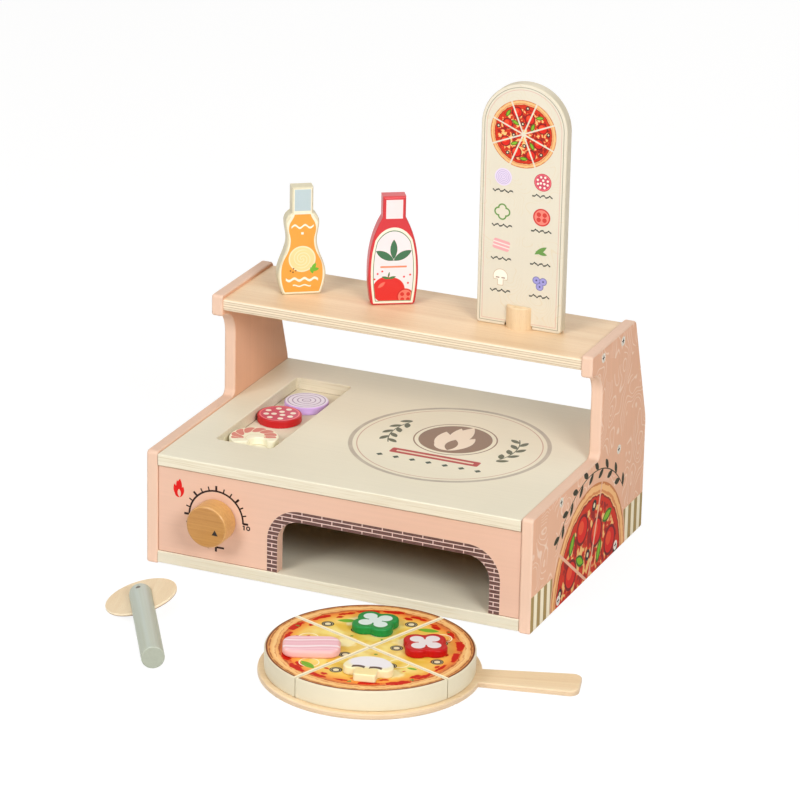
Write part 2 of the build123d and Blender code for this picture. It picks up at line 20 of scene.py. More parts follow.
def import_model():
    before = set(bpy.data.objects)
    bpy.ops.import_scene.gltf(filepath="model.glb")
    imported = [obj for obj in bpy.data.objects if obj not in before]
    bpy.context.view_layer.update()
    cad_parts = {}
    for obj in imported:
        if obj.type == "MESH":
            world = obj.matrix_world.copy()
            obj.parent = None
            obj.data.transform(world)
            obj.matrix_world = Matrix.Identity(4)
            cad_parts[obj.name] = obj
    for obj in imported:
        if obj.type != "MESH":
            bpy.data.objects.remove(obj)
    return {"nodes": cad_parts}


LOG = logging.getLogger("toy_oven")

MM = 0.001
Spot = tuple[float, float]
Number = Union["Wire", float]
Colour = Union["Wire", tuple]
MIDDLE: Spot = (0.0, 0.0)
WHITE = (1.0, 1.0, 1.0, 1.0)


def paint(red: float, green: float, blue: float) -> tuple[float, float, float, float]:
    """Turns a colour written 0 to 255, as on a screen, into Blender's linear colour.

    Args:
        red: Red, 0 to 255.
        green: Green, 0 to 255.
        blue: Blue, 0 to 255.

    Returns:
        The linear colour with full alpha.
    """
    parts = []
    for channel in (red, green, blue):
        share = channel / 255
        parts.append(share / 12.92 if share <= 0.04045 else ((share + 0.055) / 1.055) ** 2.4)
    return parts[0], parts[1], parts[2], 1.0


def around(middle: Spot, places: Iterable[Spot], unit: float = 1.0) -> list[Spot]:
    """Turns distances and bearings into spots.

    Args:
        middle: What the places lie round.
        places: Each one's distance and its bearing in degrees.
        unit: What a distance of 1 is, in millimetres.

    Returns:
        The spots.
    """
    return [(middle[0] + out * unit * math.cos(math.radians(lie)),
             middle[1] + out * unit * math.sin(math.radians(lie))) for out, lie in places]


def beside(spot: Spot, steps: Iterable[Spot]) -> list[Spot]:
    """The spots that lie so far across and up from one."""
    return [(spot[0] + across, spot[1] + up) for across, up in steps]


class Grain(Enum):
    """The way that the wood's fibres run: how far they are stretched on x, y and z."""

    ALONG_X = (0.02, 1.0, 1.0)
    ALONG_Z = (1.0, 1.0, 0.02)


class Facing(Enum):
    """A direction that a face looks in."""

    FRONT = (0.0, -1.0, 0.0)
    RIGHT = (1.0, 0.0, 0.0)
    TOP = (0.0, 0.0, 1.0)
    UNDER = (0.0, 0.0, -1.0)


# ------------------------------------------------------------------ shader maths


def adds(operation: str, reflected: bool = False) -> Callable[..., Wire]:
    """Makes a method of Wire that adds one Math node.

    Args:
        operation: Blender's name of the sum.
        reflected: Whether the wire is the last term, as in 1 - mask.

    Returns:
        The method.
    """
    def method(self: Wire, *others: Number) -> Wire:
        """The sum of the wire and the other terms."""
        return self.maths(operation, *((*others, self) if reflected else (self, *others)))

    return method


class Wire:
    """An output socket that arithmetic can be written on; each operator adds one Math node."""

    __add__, __radd__ = adds("ADD"), adds("ADD", True)
    __sub__, __rsub__ = adds("SUBTRACT"), adds("SUBTRACT", True)
    __mul__, __rmul__ = adds("MULTIPLY"), adds("MULTIPLY", True)
    __truediv__, __rtruediv__ = adds("DIVIDE"), adds("DIVIDE", True)
    __mod__ = adds("FLOORED_MODULO")    # never negative
    __abs__ = adds("ABSOLUTE")
    __gt__, __lt__ = adds("GREATER_THAN"), adds("LESS_THAN")
    least = adds("MINIMUM")             # of two distances: both shapes together
    most = adds("MAXIMUM")              # of two distances: where the shapes overlap
    whole = adds("FLOOR")
    root = adds("SQRT")
    sine = adds("SINE")                 # of radians

    def __init__(self, recipe: Tree, socket: bpy.types.NodeSocket) -> None:
        """Keeps the socket and the tree that it belongs to."""
        self.recipe = recipe
        self.socket = socket

    def maths(self, operation: str, *terms: Number, clamp: bool = False) -> Wire:
        """Adds a Math node.

        Args:
            operation: Blender's name of the sum.
            terms: What goes into it, in order.
            clamp: Whether the answer is kept between 0 and 1.

        Returns:
            The node's answer.
        """
        settings = {"operation": operation, "use_clamp": clamp}
        return self.recipe.node("ShaderNodeMath", settings, dict(enumerate(terms)))

    def __neg__(self) -> Wire:
        """The wire's value with its sign turned."""
        return self * -1.0

    def squared(self) -> Wire:
        """The wire times itself."""
        return self * self

    def inside(self, soft: float = 0.16) -> Wire:
        """Mask that is 1 where a signed distance is negative.

        Args:
            soft: Width of the blurred edge, in millimetres.

        Returns:
            The mask, 0 to 1.
        """
        return self.maths("MULTIPLY_ADD", self, -1 / soft, 0.5, clamp=True)


class Tree:
    """A node tree of a material or of the world while it is being made."""

    def __init__(self, tree: bpy.types.NodeTree) -> None:
        """Keeps the tree."""
        self.tree = tree

    def node(self, kind: str, settings: Optional[dict] = None, inputs: Optional[dict] = None,
             output: Union[int, str] = 0) -> Wire:
        """Adds one node.

        Args:
            kind: Blender's name of the node type.
            settings: Properties to set first; "stops" are a ramp's, "bends" a curve's points.
            inputs: Values or wires by socket number or name.
            output: Which output socket to use.

        Returns:
            A wire on that output.
        """
        made = self.tree.nodes.new(kind)
        for key, value in (settings or {}).items():
            if key == "stops":
                self._set_stops(made.color_ramp, value)
            elif key == "bends":
                self._set_bends(made.mapping, value)
            else:
                setattr(made, key, value)
        for key, value in (inputs or {}).items():
            self.feed(made.inputs[key], value)
        return Wire(self, made.outputs[output])

    @staticmethod
    def _set_stops(ramp: bpy.types.ColorRamp, stops: Iterable[tuple[float, tuple]]) -> None:
        """Gives a colour ramp its stops, each a place and a linear colour.

        Args:
            ramp: The ramp.
            stops: Its stops, in order.
        """
        for index, (place, colour) in enumerate(stops):
            stop = ramp.elements[index] if index < 2 else ramp.elements.new(place)
            stop.position = place
            stop.color = colour

    @staticmethod
    def _set_bends(mapping: bpy.types.CurveMapping, bends: Iterable[Spot]) -> None:
        """Gives a float curve its points, its two ends first.

        Args:
            mapping: The curve.
            bends: Its points.
        """
        points = mapping.curves[0].points
        for index, bend in enumerate(bends):
            if index < 2:
                points[index].location = bend
            else:
                points.new(*bend)
        mapping.update()

    def feed(self, socket: bpy.types.NodeSocket, value: Union[Number, tuple]) -> None:
        """Links a wire to a socket, or sets the socket's own value.

        Args:
            socket: The socket.
            value: The wire or the value.
        """
        if isinstance(value, Wire):
            self.tree.links.new(value.socket, socket)
        else:
            socket.default_value = value

    def vector(self, operation: str, *terms: Colour, scale: Number = 1.0,
               number: bool = False) -> Wire:
        """Adds a Vector Math node.

        Args:
            operation: Blender's name of the sum.
            terms: Vectors that go into it.
            scale: The factor of a SCALE.
            number: Whether the answer is a number, as a length or a dot product is.

        Returns:
            The node's answer.
        """
        inputs: dict = dict(enumerate(terms))
        if operation == "SCALE":
            inputs[3] = scale
        return self.node("ShaderNodeVectorMath", {"operation": operation}, inputs, int(number))

    def turned(self, vector: Wire, degrees: float) -> Wire:
        """The vector turned about z."""
        return self.node("ShaderNodeVectorRotate", {"rotation_type": "Z_AXIS"},
                         {"Vector": vector, "Angle": math.radians(degrees)})

    def split(self, vector: Wire) -> tuple[Wire, Wire, Wire]:
        """A vector's three numbers.

        Args:
            vector: The vector.

        Returns:
            Its x, y and z.
        """
        first = self.node("ShaderNodeSeparateXYZ", inputs={0: vector})
        outputs = first.socket.node.outputs
        return first, Wire(self, outputs[1]), Wire(self, outputs[2])

    def mix(self, mask: Number, below: Colour, above: Colour) -> Wire:
        """Lays one colour over another, as far as the mask says."""
        return self.node("ShaderNodeMix", {"data_type": "RGBA"}, {0: mask, 6: below, 7: above}, 2)

    def ramp(self, value: Number, *stops: tuple[float, tuple]) -> Wire:
        """A colour ramp, with its stops' places and linear colours in order."""
        return self.node("ShaderNodeValToRGB", {"stops": stops}, {0: value})

    def seen(self) -> Wire:
        """1 where the camera, a gloss or a glass looks, and 0 where only light falls.

        Returns:
            The mask, 0 or 1.
        """
        path = self.node("ShaderNodeLightPath", output="Is Camera Ray")
        rays = path.socket.node.outputs
        return reduce(Wire.most, [path, Wire(self, rays["Is Glossy Ray"]),
                                  Wire(self, rays["Is Transmission Ray"])])


class Recipe(Tree):
    """A material while it is being made; what it reads is in millimetres."""

    def __init__(self, name: str) -> None:
        """Starts an empty material with its shader.

        Args:
            name: The material's name.
        """
        self.material = bpy.data.materials.new(name)
        self.material.use_nodes = True
        super().__init__(self.material.node_tree)
        self.shader = self.tree.nodes["Principled BSDF"]
        self.spot: Optional[Wire] = None
        self.normal: Optional[Wire] = None

    def place(self) -> Wire:
        """The point on the object, in millimetres, as a vector.

        Returns:
            The point.
        """
        if self.spot is None:
            point = self.node("ShaderNodeTexCoord", output="Object")
            self.spot = self.vector("SCALE", point, scale=1 / MM)
        return self.spot

    def turn_place(self, degrees: float) -> None:
        """Turns what the material reads, so that its grain lies along a turned piece."""
        self.spot = self.turned(self.place(), degrees)

    def towards(self, facing: Union[Facing, tuple]) -> Wire:
        """How squarely the surface looks a given way, -1 to 1.

        Args:
            facing: The direction.

        Returns:
            The cosine of the angle between them.
        """
        if self.normal is None:
            self.normal = self.node("ShaderNodeTexCoord", output="Normal")
        way = facing.value if isinstance(facing, Facing) else facing
        return self.vector("DOT_PRODUCT", self.normal, way, number=True)

    def looks(self, facing: Union[Facing, tuple], least: float = 0.7) -> Wire:
        """Mask of the surface that looks a given way, squarely enough."""
        return self.towards(facing) > least

    def noise(self, size: float, stretch: tuple = (1.0, 1.0, 1.0), detail: float = 3.0,
              shift: float = 0.0) -> Wire:
        """Soft seeded noise.

        Args:
            size: About how many millimetres one blotch is.
            stretch: How fast it changes along x, y and z.
            detail: How many finer layers it has.
            shift: Moves to another part of the noise.

        Returns:
            The noise, about 0.2 to 0.8.
        """
        point = self.vector("MULTIPLY_ADD", self.place(), stretch, (shift, shift, shift))
        inputs = {"Vector": point, "Scale": 1 / size, "Detail": detail, "Roughness": 0.55}
        return self.node("ShaderNodeTexNoise", {}, inputs)

    def finish(self, colour: Colour, roughness: Number, relief: Optional[Wire] = None,
               height: float = 0.05, metallic: float = 0.0, coat: float = 0.0,
               gloss: float = 0.5) -> bpy.types.Material:
        """Joins the made colours to the shader.

        Args:
            colour: Base colour.
            roughness: Roughness, which may vary over the surface.
            relief: Height of the surface's relief, 0 to 1.
            height: What 1 of that relief is, in millimetres.
            metallic: 1 for bare metal.
            coat: Weight of a clear varnish.
            gloss: Specular level.

        Returns:
            The finished material.
        """
        for socket, value in (("Base Color", colour), ("Roughness", roughness),
                              ("Metallic", metallic), ("Coat Weight", coat),
                              ("Coat Roughness", 0.22), ("Specular IOR Level", gloss)):
            self.feed(self.shader.inputs[socket], value)
        if relief is not None:
            bump = self.node("ShaderNodeBump", {}, {"Strength": 1.0, "Distance": height * MM,
                                                    "Height": relief})
            self.feed(self.shader.inputs["Normal"], bump)
        return self.material


# ------------------------------------------------------------------ prints


class Print:
    """Flat artwork on one face: shapes are signed distances in millimetres, laid in order."""

    def __init__(self, recipe: Recipe, origin: tuple, along: tuple, upward: tuple,
                 ground: Colour) -> None:
        """Sets up the face.

        Args:
            recipe: The material that the print belongs to.
            origin: The artwork's own zero, in millimetres on the object.
            along: Direction of the artwork's width.
            upward: Direction of the artwork's height.
            ground: Colour under the artwork.
        """
        self.recipe = recipe
        self.ground = self.colour = ground
        self.across, self.up = (
            recipe.vector("DOT_PRODUCT", recipe.place(), way, number=True)
            - Vector(origin).dot(Vector(way)) for way in (along, upward))
        self.flat = recipe.node("ShaderNodeCombineXYZ", inputs={0: self.across, 1: self.up})

    @classmethod
    def on_top(cls, recipe: Recipe, middle: Spot, turn: float, ground: Colour) -> Print:
        """A print on a face that looks up, turned about z by so many degrees."""
        along, upward = around(MIDDLE, ((1.0, turn), (1.0, turn + 90)))
        return cls(recipe, (*middle, 0.0), (*along, 0.0), (*upward, 0.0), ground)

    @classmethod
    def on_front(cls, recipe: Recipe, middle: Spot, ground: Colour) -> Print:
        """A print on an upright face that looks to the front."""
        return cls(recipe, (middle[0], 0.0, middle[1]), (1.0, 0.0, 0.0), (0.0, 0.0, 1.0), ground)

    def done(self, mask: Number, elsewhere: Optional[Colour] = None) -> Wire:
        """The print where the mask is 1, and another colour elsewhere."""
        return self.recipe.mix(mask, self.ground if elsewhere is None else elsewhere, self.colour)

    # shapes

    def away(self, spot: Spot = MIDDLE) -> Wire:
        """Distance from a spot."""
        return self.recipe.vector("DISTANCE", self.flat, (*spot, 0.0), number=True)

    def nearest(self, spots: Iterable[Spot]) -> Wire:
        """Distance from the nearest of some spots."""
        return reduce(Wire.least, [self.away(spot) for spot in spots])

    def disc(self, spot: Spot, radius: float) -> Wire:
        """A filled circle."""
        return self.away(spot) - radius

    def ring(self, spot: Spot, radius: float, width: float) -> Wire:
        """A circular line."""
        return abs(self.away(spot) - radius) - width / 2

    def box(self, spot: Spot, half: Spot, corner: float = 0.15, turn: float = 0.0) -> Wire:
        """A filled box.

        Args:
            spot: Its middle.
            half: Half its width and half its height.
            corner: Radius of its corners.
            turn: Degrees it is turned to the left.

        Returns:
            The signed distance, flat inside the corners' middles.
        """
        vector = self.recipe.vector
        reach = vector("SUBTRACT", self.flat, (*spot, 0.0))
        if turn:
            reach = self.recipe.turned(reach, -turn)
        reach = vector("SUBTRACT", vector("ABSOLUTE", reach),
                       (half[0] - corner, half[1] - corner, 0.0))
        reach = vector("MAXIMUM", reach, (0.0, 0.0, 0.0))
        return vector("LENGTH", reach, number=True) - corner

    def leaf(self, spot: Spot, length: float, width: float, turn: float) -> Wire:
        """A pointed leaf, where two large circles overlap.

        Args:
            spot: Its middle.
            length: Its length.
            width: Its width.
            turn: Degrees it is turned to the left.

        Returns:
            The signed distance.
        """
        radius = (length ** 2 + width ** 2) / (4 * width)
        shift = radius - width / 2
        middles = around(spot, ((shift, turn + 90), (shift, turn - 90)))
        return reduce(Wire.most, [self.disc(middle, radius) for middle in middles])

    def leaves(self, middle: Spot, size: float, blades: Iterable[tuple]) -> Wire:
        """Several leaves as one shape; each is x, y, length, width and turn, times the size.

        Args:
            middle: What the blades lie round.
            size: What 1 is, in millimetres.
            blades: Each one's x, y, length, width and turn.

        Returns:
            The signed distance.
        """
        return reduce(Wire.least, [
            self.leaf((middle[0] + x * size, middle[1] + y * size), length * size, width * size,
                      turn) for x, y, length, width, turn in blades])

    def bearing(self, spot: Spot = MIDDLE) -> Wire:
        """Direction from a spot, in degrees from the artwork's width."""
        turn = self.up.maths("ARCTAN2", self.up - spot[1], self.across - spot[0])
        return turn * math.degrees(1.0)

    def spokes(self, spot: Spot, pitch: float, start: float, width: float) -> Wire:
        """Straight lines out of a spot.

        Args:
            spot: Where they start.
            pitch: Degrees from one line to the next.
            start: Bearing of the first line.
            width: Width of a line.

        Returns:
            The signed distance.
        """
        swing = abs((self.bearing(spot) - start + pitch / 2) % pitch - pitch / 2)
        return swing * self.away(spot) * math.radians(1.0) - width / 2

    # laying colours

    def lay(self, shape: Wire, colour: Colour, soft: float = 0.16, hold: Number = 1.0) -> None:
        """Lays one colour over the print inside a shape.

        Args:
            shape: Signed distance of the shape.
            colour: The colour.
            soft: Width of the blurred edge.
            hold: How much of the colour shows, or where.
        """
        mask = shape.inside(soft)
        if isinstance(hold, Wire) or hold != 1.0:
            mask = mask * hold
        self.colour = self.recipe.mix(mask, self.colour, colour)

    def stack(self, reach: Wire, *layers: tuple) -> None:
        """Lays one shape in several sizes and colours.

        Args:
            reach: The shape's signed distance.
            layers: How far each one is grown, and then lay's colour, soft and hold.
        """
        for grow, *look in layers:
            self.lay(reach - grow, *look)


class Motifs:
    """Generic pictures of food and fire that several prints share."""

    # leaves: x, y, length, width and turn
    FLAME = ((0.02, 0.04, 1.04, 0.34, 84.0), (-0.17, -0.14, 0.74, 0.26, 104.0),
             (0.19, -0.18, 0.64, 0.24, 76.0), (-0.05, 0.1, 0.7, 0.2, 98.0))
    HEART = ((0.03, -0.27, 0.46, 0.19, 96.0),)
    SPRIG = ((0.0, 0.0, 1.0, 0.3, 35.0), (0.05, -0.16, 0.8, 0.26, -12.0))
    # distance and bearing, the salami's in millimetres, the pizza's in shares of its radius
    SPECKS = ((5.2, 80.0), (5.6, 205.0), (5.0, 322.0), (13.4, 20.0), (14.2, 66.0), (13.6, 110.0),
              (14.0, 158.0), (13.2, 200.0), (14.2, 244.0), (13.8, 290.0), (13.4, 338.0))
    TOMATOES = ((0.62, 22), (0.5, 68), (0.66, 108), (0.55, 152), (0.6, 206), (0.58, 250),
                (0.64, 292), (0.52, 334))
    OLIVES = ((0.78, 82), (0.3, 96), (0.76, 6), (0.78, 168), (0.3, 190), (0.76, 232),
                   (0.34, 276), (0.77, 316))
    BASIL = ((0.36, 40), (0.72, 48), (0.4, 128), (0.74, 130), (0.4, 228), (0.72, 272),
             (0.42, 310))
    BASIL_TURNS = (70, 10, 150, 60, 20, 0, 120)
    STALK = 1.1             # mm, a garland's stalk
    LEAF_WIDTH = 0.46       # of a garland's leaf, in shares of its length
    LEAF_OUT = 0.34         # how far its middle is from the stalk, in the same shares
    LEAF_LEAN = 34          # degrees out from the stalk

    def __init__(self, print_: Print) -> None:
        """Keeps the print that the pictures are laid on."""
        self.print = print_

    def flame(self, spot: Spot, height: float, colour: tuple, heart: Colour) -> None:
        """A flame of four tongues with a paler heart.

        Args:
            spot: Its middle.
            height: Its height.
            colour: The tongues' colour.
            heart: The heart's colour.
        """
        art = self.print
        body = art.leaves(spot, height, self.FLAME)
        art.lay(body.least(art.disc((spot[0], spot[1] - 0.28 * height), 0.24 * height)), colour)
        art.lay(art.leaves(spot, height, self.HEART), heart)

    def garland(self, spot: Spot, radius: float, bearings: Spot, count: int, size: float,
                colour: tuple) -> None:
        """Leaves that lean out on both sides of a curved stalk.

        Args:
            spot: The middle of the curve.
            radius: The curve's radius.
            bearings: Where the stalk starts and ends, in degrees.
            count: How many leaves.
            size: A leaf's length.
            colour: The garland's colour.
        """
        art = self.print
        first, last = bearings
        blades = []
        for step in range(count):
            lie, side = first + (last - first) * (step + 0.5) / count, 1 if step % 2 else -1
            (at,) = around(MIDDLE, ((radius / size - side * self.LEAF_OUT, lie),))
            blades.append((*at, 1.0, self.LEAF_WIDTH, lie - 90 + side * self.LEAF_LEAN))
        art.lay(art.leaves(spot, size, blades), colour, 0.25)
        swing = (art.bearing(spot) - (first + last) / 2 + 540) % 360 - 180
        within = (abs(swing) - (last - first) / 2) * math.radians(radius)
        art.lay(art.ring(spot, radius, self.STALK).most(within), colour, 0.2)

    def salami(self, spot: Spot, radius: float) -> None:
        """A round of salami: a red rim, a rosy face and pale specks of fat in two rings.

        Args:
            spot: Its middle.
            radius: Its radius.
        """
        art, unit = self.print, radius / 22
        art.stack(art.away(spot), (radius, paint(186, 26, 44)),
                  (20.2 * unit, paint(244, 118, 126), 0.4), (18.6 * unit, paint(206, 72, 98), 0.5))
        specks = art.nearest(around(spot, self.SPECKS, unit))
        art.lay(specks - 2.9 * unit, paint(252, 240, 226), 0.3)

    def onion(self, spot: Spot, radius: float, ring: tuple,
              gaps: tuple = (5.0, 9.3, 13.4, 17.4)) -> None:
        """A round of onion: thin rings one in another, and a short heart.

        Args:
            spot: Its middle.
            radius: Its radius.
            ring: The rings' colour.
            gaps: The rings' radii in an onion of 22 mm.
        """
        art, unit = self.print, radius / 22
        reach = art.away(spot)
        for gap in gaps:
            art.lay(abs(reach - gap * unit) - 0.55 * unit, ring, 0.35)
        art.lay(art.box(spot, (2.2 * unit, 0.5 * unit), 0.3 * unit, 20.0), ring, 0.3)

    def pepper(self, spot: Spot, lobe: float, out: float, colour: tuple) -> None:
        """The hollow heart of a pepper: four petals round a waist.

        Args:
            spot: Its middle.
            lobe: A petal's radius.
            out: How far a petal lies from the middle.
            colour: Its colour.
        """
        art = self.print
        petals = art.nearest(around(spot, [(out, lie) for lie in (45, 135, 225, 315)]))
        art.lay(petals - lobe, colour, 0.3)
        art.lay(art.box(spot, (0.52 * out, 0.52 * out), 0.3 * out, 45.0), colour, 0.3)

    def olives(self, spots: Iterable[Spot], unit: float) -> None:
        """Slices of black olive, each two dark rings with a pale one between.

        Args:
            spots: Their middles.
            unit: How large they are, 1 for a radius of 5.4 mm.
        """
        art = self.print
        reach = art.nearest(spots)
        art.lay(reach - 5.4 * unit, paint(32, 24, 18), 0.3)
        art.lay(abs(reach - 4.2 * unit) - 0.28 * unit, paint(196, 184, 146), 0.2)
        art.lay(reach - 2.7 * unit, paint(236, 224, 184), 0.2)

    def pizza(self, spot: Spot, radius: float, cuts: int, start: float, gap: float) -> None:
        """A small picture of a pizza cut in slices.

        Args:
            spot: Its middle.
            radius: Radius of its crust.
            cuts: Number of slices.
            start: Bearing of the first cut.
            gap: Width of a cut.
        """
        art = self.print
        ground, reach = art.colour, art.away(spot)
        blotch = art.recipe.noise(radius * 0.09, detail=1.5, shift=5.0)
        wavy = reach + (blotch - 0.5) * (radius * 0.05)
        art.lay(reach - radius, paint(206, 128, 72))
        art.lay(wavy - 0.975 * radius, paint(246, 192, 130), 0.5)
        art.lay(abs(wavy - 0.905 * radius) - 0.014 * radius, paint(222, 142, 84), 0.6)
        art.stack(wavy, (0.875 * radius, paint(146, 28, 8), 0.4),
                  (0.855 * radius, paint(208, 42, 4), 1.0))
        art.lay((0.575 - blotch) * 20, paint(244, 196, 122), 1.2,
                (wavy - 0.78 * radius).inside(1.0))
        art.lay((blotch - 0.42) * 20, paint(146, 16, 6), 1.2, (wavy - 0.8 * radius).inside(1.0))
        for middle in around(spot, self.TOMATOES, radius):
            art.stack(art.away(middle), (0.16 * radius, paint(116, 8, 4), 0.3),
                      (0.13 * radius, paint(220, 26, 8), 0.3))
            shine = (middle[0] - 0.03 * radius, middle[1] + 0.03 * radius)
            art.lay(art.disc(shine, 0.07 * radius), paint(234, 78, 40), 0.3)
        for middle, turn in zip(around(spot, self.BASIL, radius), self.BASIL_TURNS):
            for length, width, green in ((0.26, 0.115, paint(50, 98, 20)),
                                         (0.2, 0.07, paint(130, 182, 34))):
                art.lay(art.leaf(middle, length * radius, width * radius, turn), green, 0.3)
        art.stack(art.nearest(around(spot, self.OLIVES, radius)),
                  (0.058 * radius, paint(44, 34, 30), 0.3),
                  (0.026 * radius, paint(230, 214, 176), 0.3))
        art.lay(art.spokes(spot, 360 / cuts, start, gap), ground, 0.2,
                (reach - radius - 0.5).inside(0.5))


# ------------------------------------------------------------------ finishes


@dataclass(frozen=True)
class Enamel:
    """Satin paint on wood; the fibres under it show as faint streaks and a slight relief."""

    name: str
    colour: tuple
    grain: Grain = Grain.ALONG_X
    fibre: float = 3.0          # mm across one streak
    streak: float = 0.10        # how much a streak changes the tone
    relief: float = 0.03        # mm
    roughness: float = 0.46
    coat: float = 0.0
    gloss: float = 0.38
    cloud: float = 70.0         # mm across one slow change of tone
    cloudy: float = 0.05        # how much it changes the tone
    dimple: float = 0.9         # mm across one dimple of the sprayed skin

    def start(self) -> tuple[Recipe, Wire]:
        """Starts the material, and gives its recipe and its painted ground."""
        recipe = Recipe(self.name)
        return recipe, self.ground(recipe, self.colour)

    def on_top(self, middle: Spot, turn: float = 0.0) -> Print:
        """Starts the material with a print on its faces that look up."""
        recipe, ground = self.start()
        return Print.on_top(recipe, middle, turn, ground)

    def on_front(self, middle: Spot) -> Print:
        """Starts the material with a print on its faces that look to the front."""
        recipe, ground = self.start()
        return Print.on_front(recipe, middle, ground)

    def ground(self, recipe: Recipe, colour: tuple, shift: float = 0.0) -> Wire:
        """A colour with the fibres and a slow cloud in its tone.

        Args:
            recipe: The material.
            colour: The colour without them.
            shift: Moves to another part of the noise.

        Returns:
            The colour.
        """
        fibres = recipe.noise(self.fibre, self.grain.value, 4.0, shift)
        cloud = recipe.noise(self.cloud, detail=1.0, shift=11.0 + shift)
        tone = (fibres - 0.5) * self.streak + (cloud - 0.5) * self.cloudy + 1.0
        return recipe.vector("SCALE", colour[:3], scale=tone)

    def finish(self, recipe: Recipe, colour: Colour) -> bpy.types.Material:
        """Joins the colour to the shader with the paint's gloss and relief.

        Args:
            recipe: The material.
            colour: Its colour.

        Returns:
            The finished material.
        """
        fibres = recipe.noise(self.fibre * 0.6, self.grain.value, 5.0, 2.0)
        stipple = recipe.noise(self.dimple, detail=2.0, shift=7.0)
        return recipe.finish(colour, (stipple - 0.5) * 0.16 + self.roughness,
                             fibres * 0.75 + stipple * 0.25, self.relief, coat=self.coat,
                             gloss=self.gloss)

    def plain(self) -> bpy.types.Material:
        """The paint with nothing printed on it."""
        return self.finish(*self.start())


@dataclass(frozen=True)
class Timber:
    """Clear sealed wood: growth figure, fibres and short pores along its grain."""

    name: str
    pale: tuple
    dark: tuple
    grain: Grain = Grain.ALONG_X
    figure: float = 9.0         # mm across one band of the figure
    relief: float = 0.05        # mm
    roughness: float = 0.44
    coat: float = 0.0
    pore: float = 0.55          # mm across one pore

    def ground(self, recipe: Recipe, shift: float = 0.0) -> Wire:
        """The wood's colour.

        Args:
            recipe: The material.
            shift: Moves to another piece of the wood.

        Returns:
            The colour.
        """
        stretch = self.grain.value
        figure = recipe.noise(self.figure, stretch, 2.0, shift)
        fibres = recipe.noise(self.figure * 0.12, stretch, 4.0, shift + 4.0)
        pores = recipe.noise(self.pore, tuple(part ** 0.6 for part in stretch), 1.0, shift + 9.0)
        tone = (figure - 0.5) * 1.1 + (fibres - 0.5) * 0.7 + 0.5
        colour = recipe.ramp(tone, (0.15, self.dark), (0.85, self.pale))
        deep = recipe.vector("SCALE", colour, scale=0.8)
        return recipe.mix((pores > 0.66) * 0.45, colour, deep)

    def finish(self, recipe: Recipe, colour: Colour) -> bpy.types.Material:
        """Joins the colour to the shader with the varnish and the fibres' relief.

        Args:
            recipe: The material.
            colour: Its colour.

        Returns:
            The finished material.
        """
        fibres = recipe.noise(self.figure * 0.1, self.grain.value, 5.0, 1.0)
        return recipe.finish(colour, (fibres - 0.5) * 0.2 + self.roughness, fibres, self.relief,
                             coat=self.coat, gloss=0.38)


@dataclass(frozen=True)
class Plies:
    """The layered edge of plywood, between two heights."""

    heights: Spot
    count: int
    edge: tuple                 # colour of the cut edge
    glue: tuple                 # colour of the glue lines
    seam: float = 0.2           # mm, the glue line
    cross: float = 0.94         # tone of the plies that show end grain

    def ground(self, recipe: Recipe, wood: Wire) -> Wire:
        """The face veneer's colour, with the plies on every upright face.

        Args:
            recipe: The material.
            wood: Colour of the face veneer.

        Returns:
            The colour.
        """
        low, high = self.heights
        _, _, z = recipe.split(recipe.place())
        ply = (high - low) / self.count
        wobble = recipe.noise(30.0, detail=2.0, shift=21.0)
        place = (z - low + (wobble - 0.5) * 0.5) / ply
        tone = (place.whole() % 2) * (self.cross - 1.0) + 1.0
        fibres = recipe.noise(1.2, (0.05, 0.05, 1.0), 3.0, 27.0)
        edge = recipe.vector("SCALE", self.edge[:3], scale=tone + (fibres - 0.5) * 0.07)
        seam = abs(place - (place + 0.5).whole()) * ply - self.seam / 2
        edge = recipe.mix(seam.inside(0.25) * 0.75, edge, self.glue)
        upright = 1 - recipe.looks(Facing.TOP, 0.75).most(recipe.looks(Facing.UNDER, 0.75))
        return recipe.mix(upright, wood, edge)


@dataclass(frozen=True)
class Zinc:
    """Zinc-plated steel with a cloudy, slightly yellowed skin, and painted shade in a screw's
    recess.
    """

    name: str = "zinc_plated_steel"
    bright: tuple = paint(236, 228, 214)
    dull: tuple = paint(184, 172, 154)
    # colour of the painted shade in a screw's recess
    hollow: tuple = paint(52, 40, 34)
    recess: float = 0.0         # mm out from the middle, within which a screw's head is painted dark as the shade in its recess
    cloud: float = 1.6          # mm across one patch of the skin
    scratch: float = 0.3        # mm across one scratch

    def make(self) -> bpy.types.Material:
        """Makes the material.

        Returns:
            The finished material.
        """
        recipe = Recipe(self.name)
        cloud = recipe.noise(self.cloud, detail=4.0)
        scratch = recipe.noise(self.scratch, (1.0, 0.1, 0.3), 2.0, 3.0)
        colour = recipe.ramp(cloud, (0.3, self.dull), (0.62, self.bright))
        # Painted shade: the screw heads' cross recess is coloured dark.
        if self.recess:
            x, _, _ = recipe.split(recipe.place())
            colour = recipe.mix(abs(x) < self.recess, colour, self.hollow)
        return recipe.finish(colour, (scratch - 0.5) * 0.3 + 0.36, scratch, 0.01, metallic=1.0)


# ------------------------------------------------------------------ the pieces


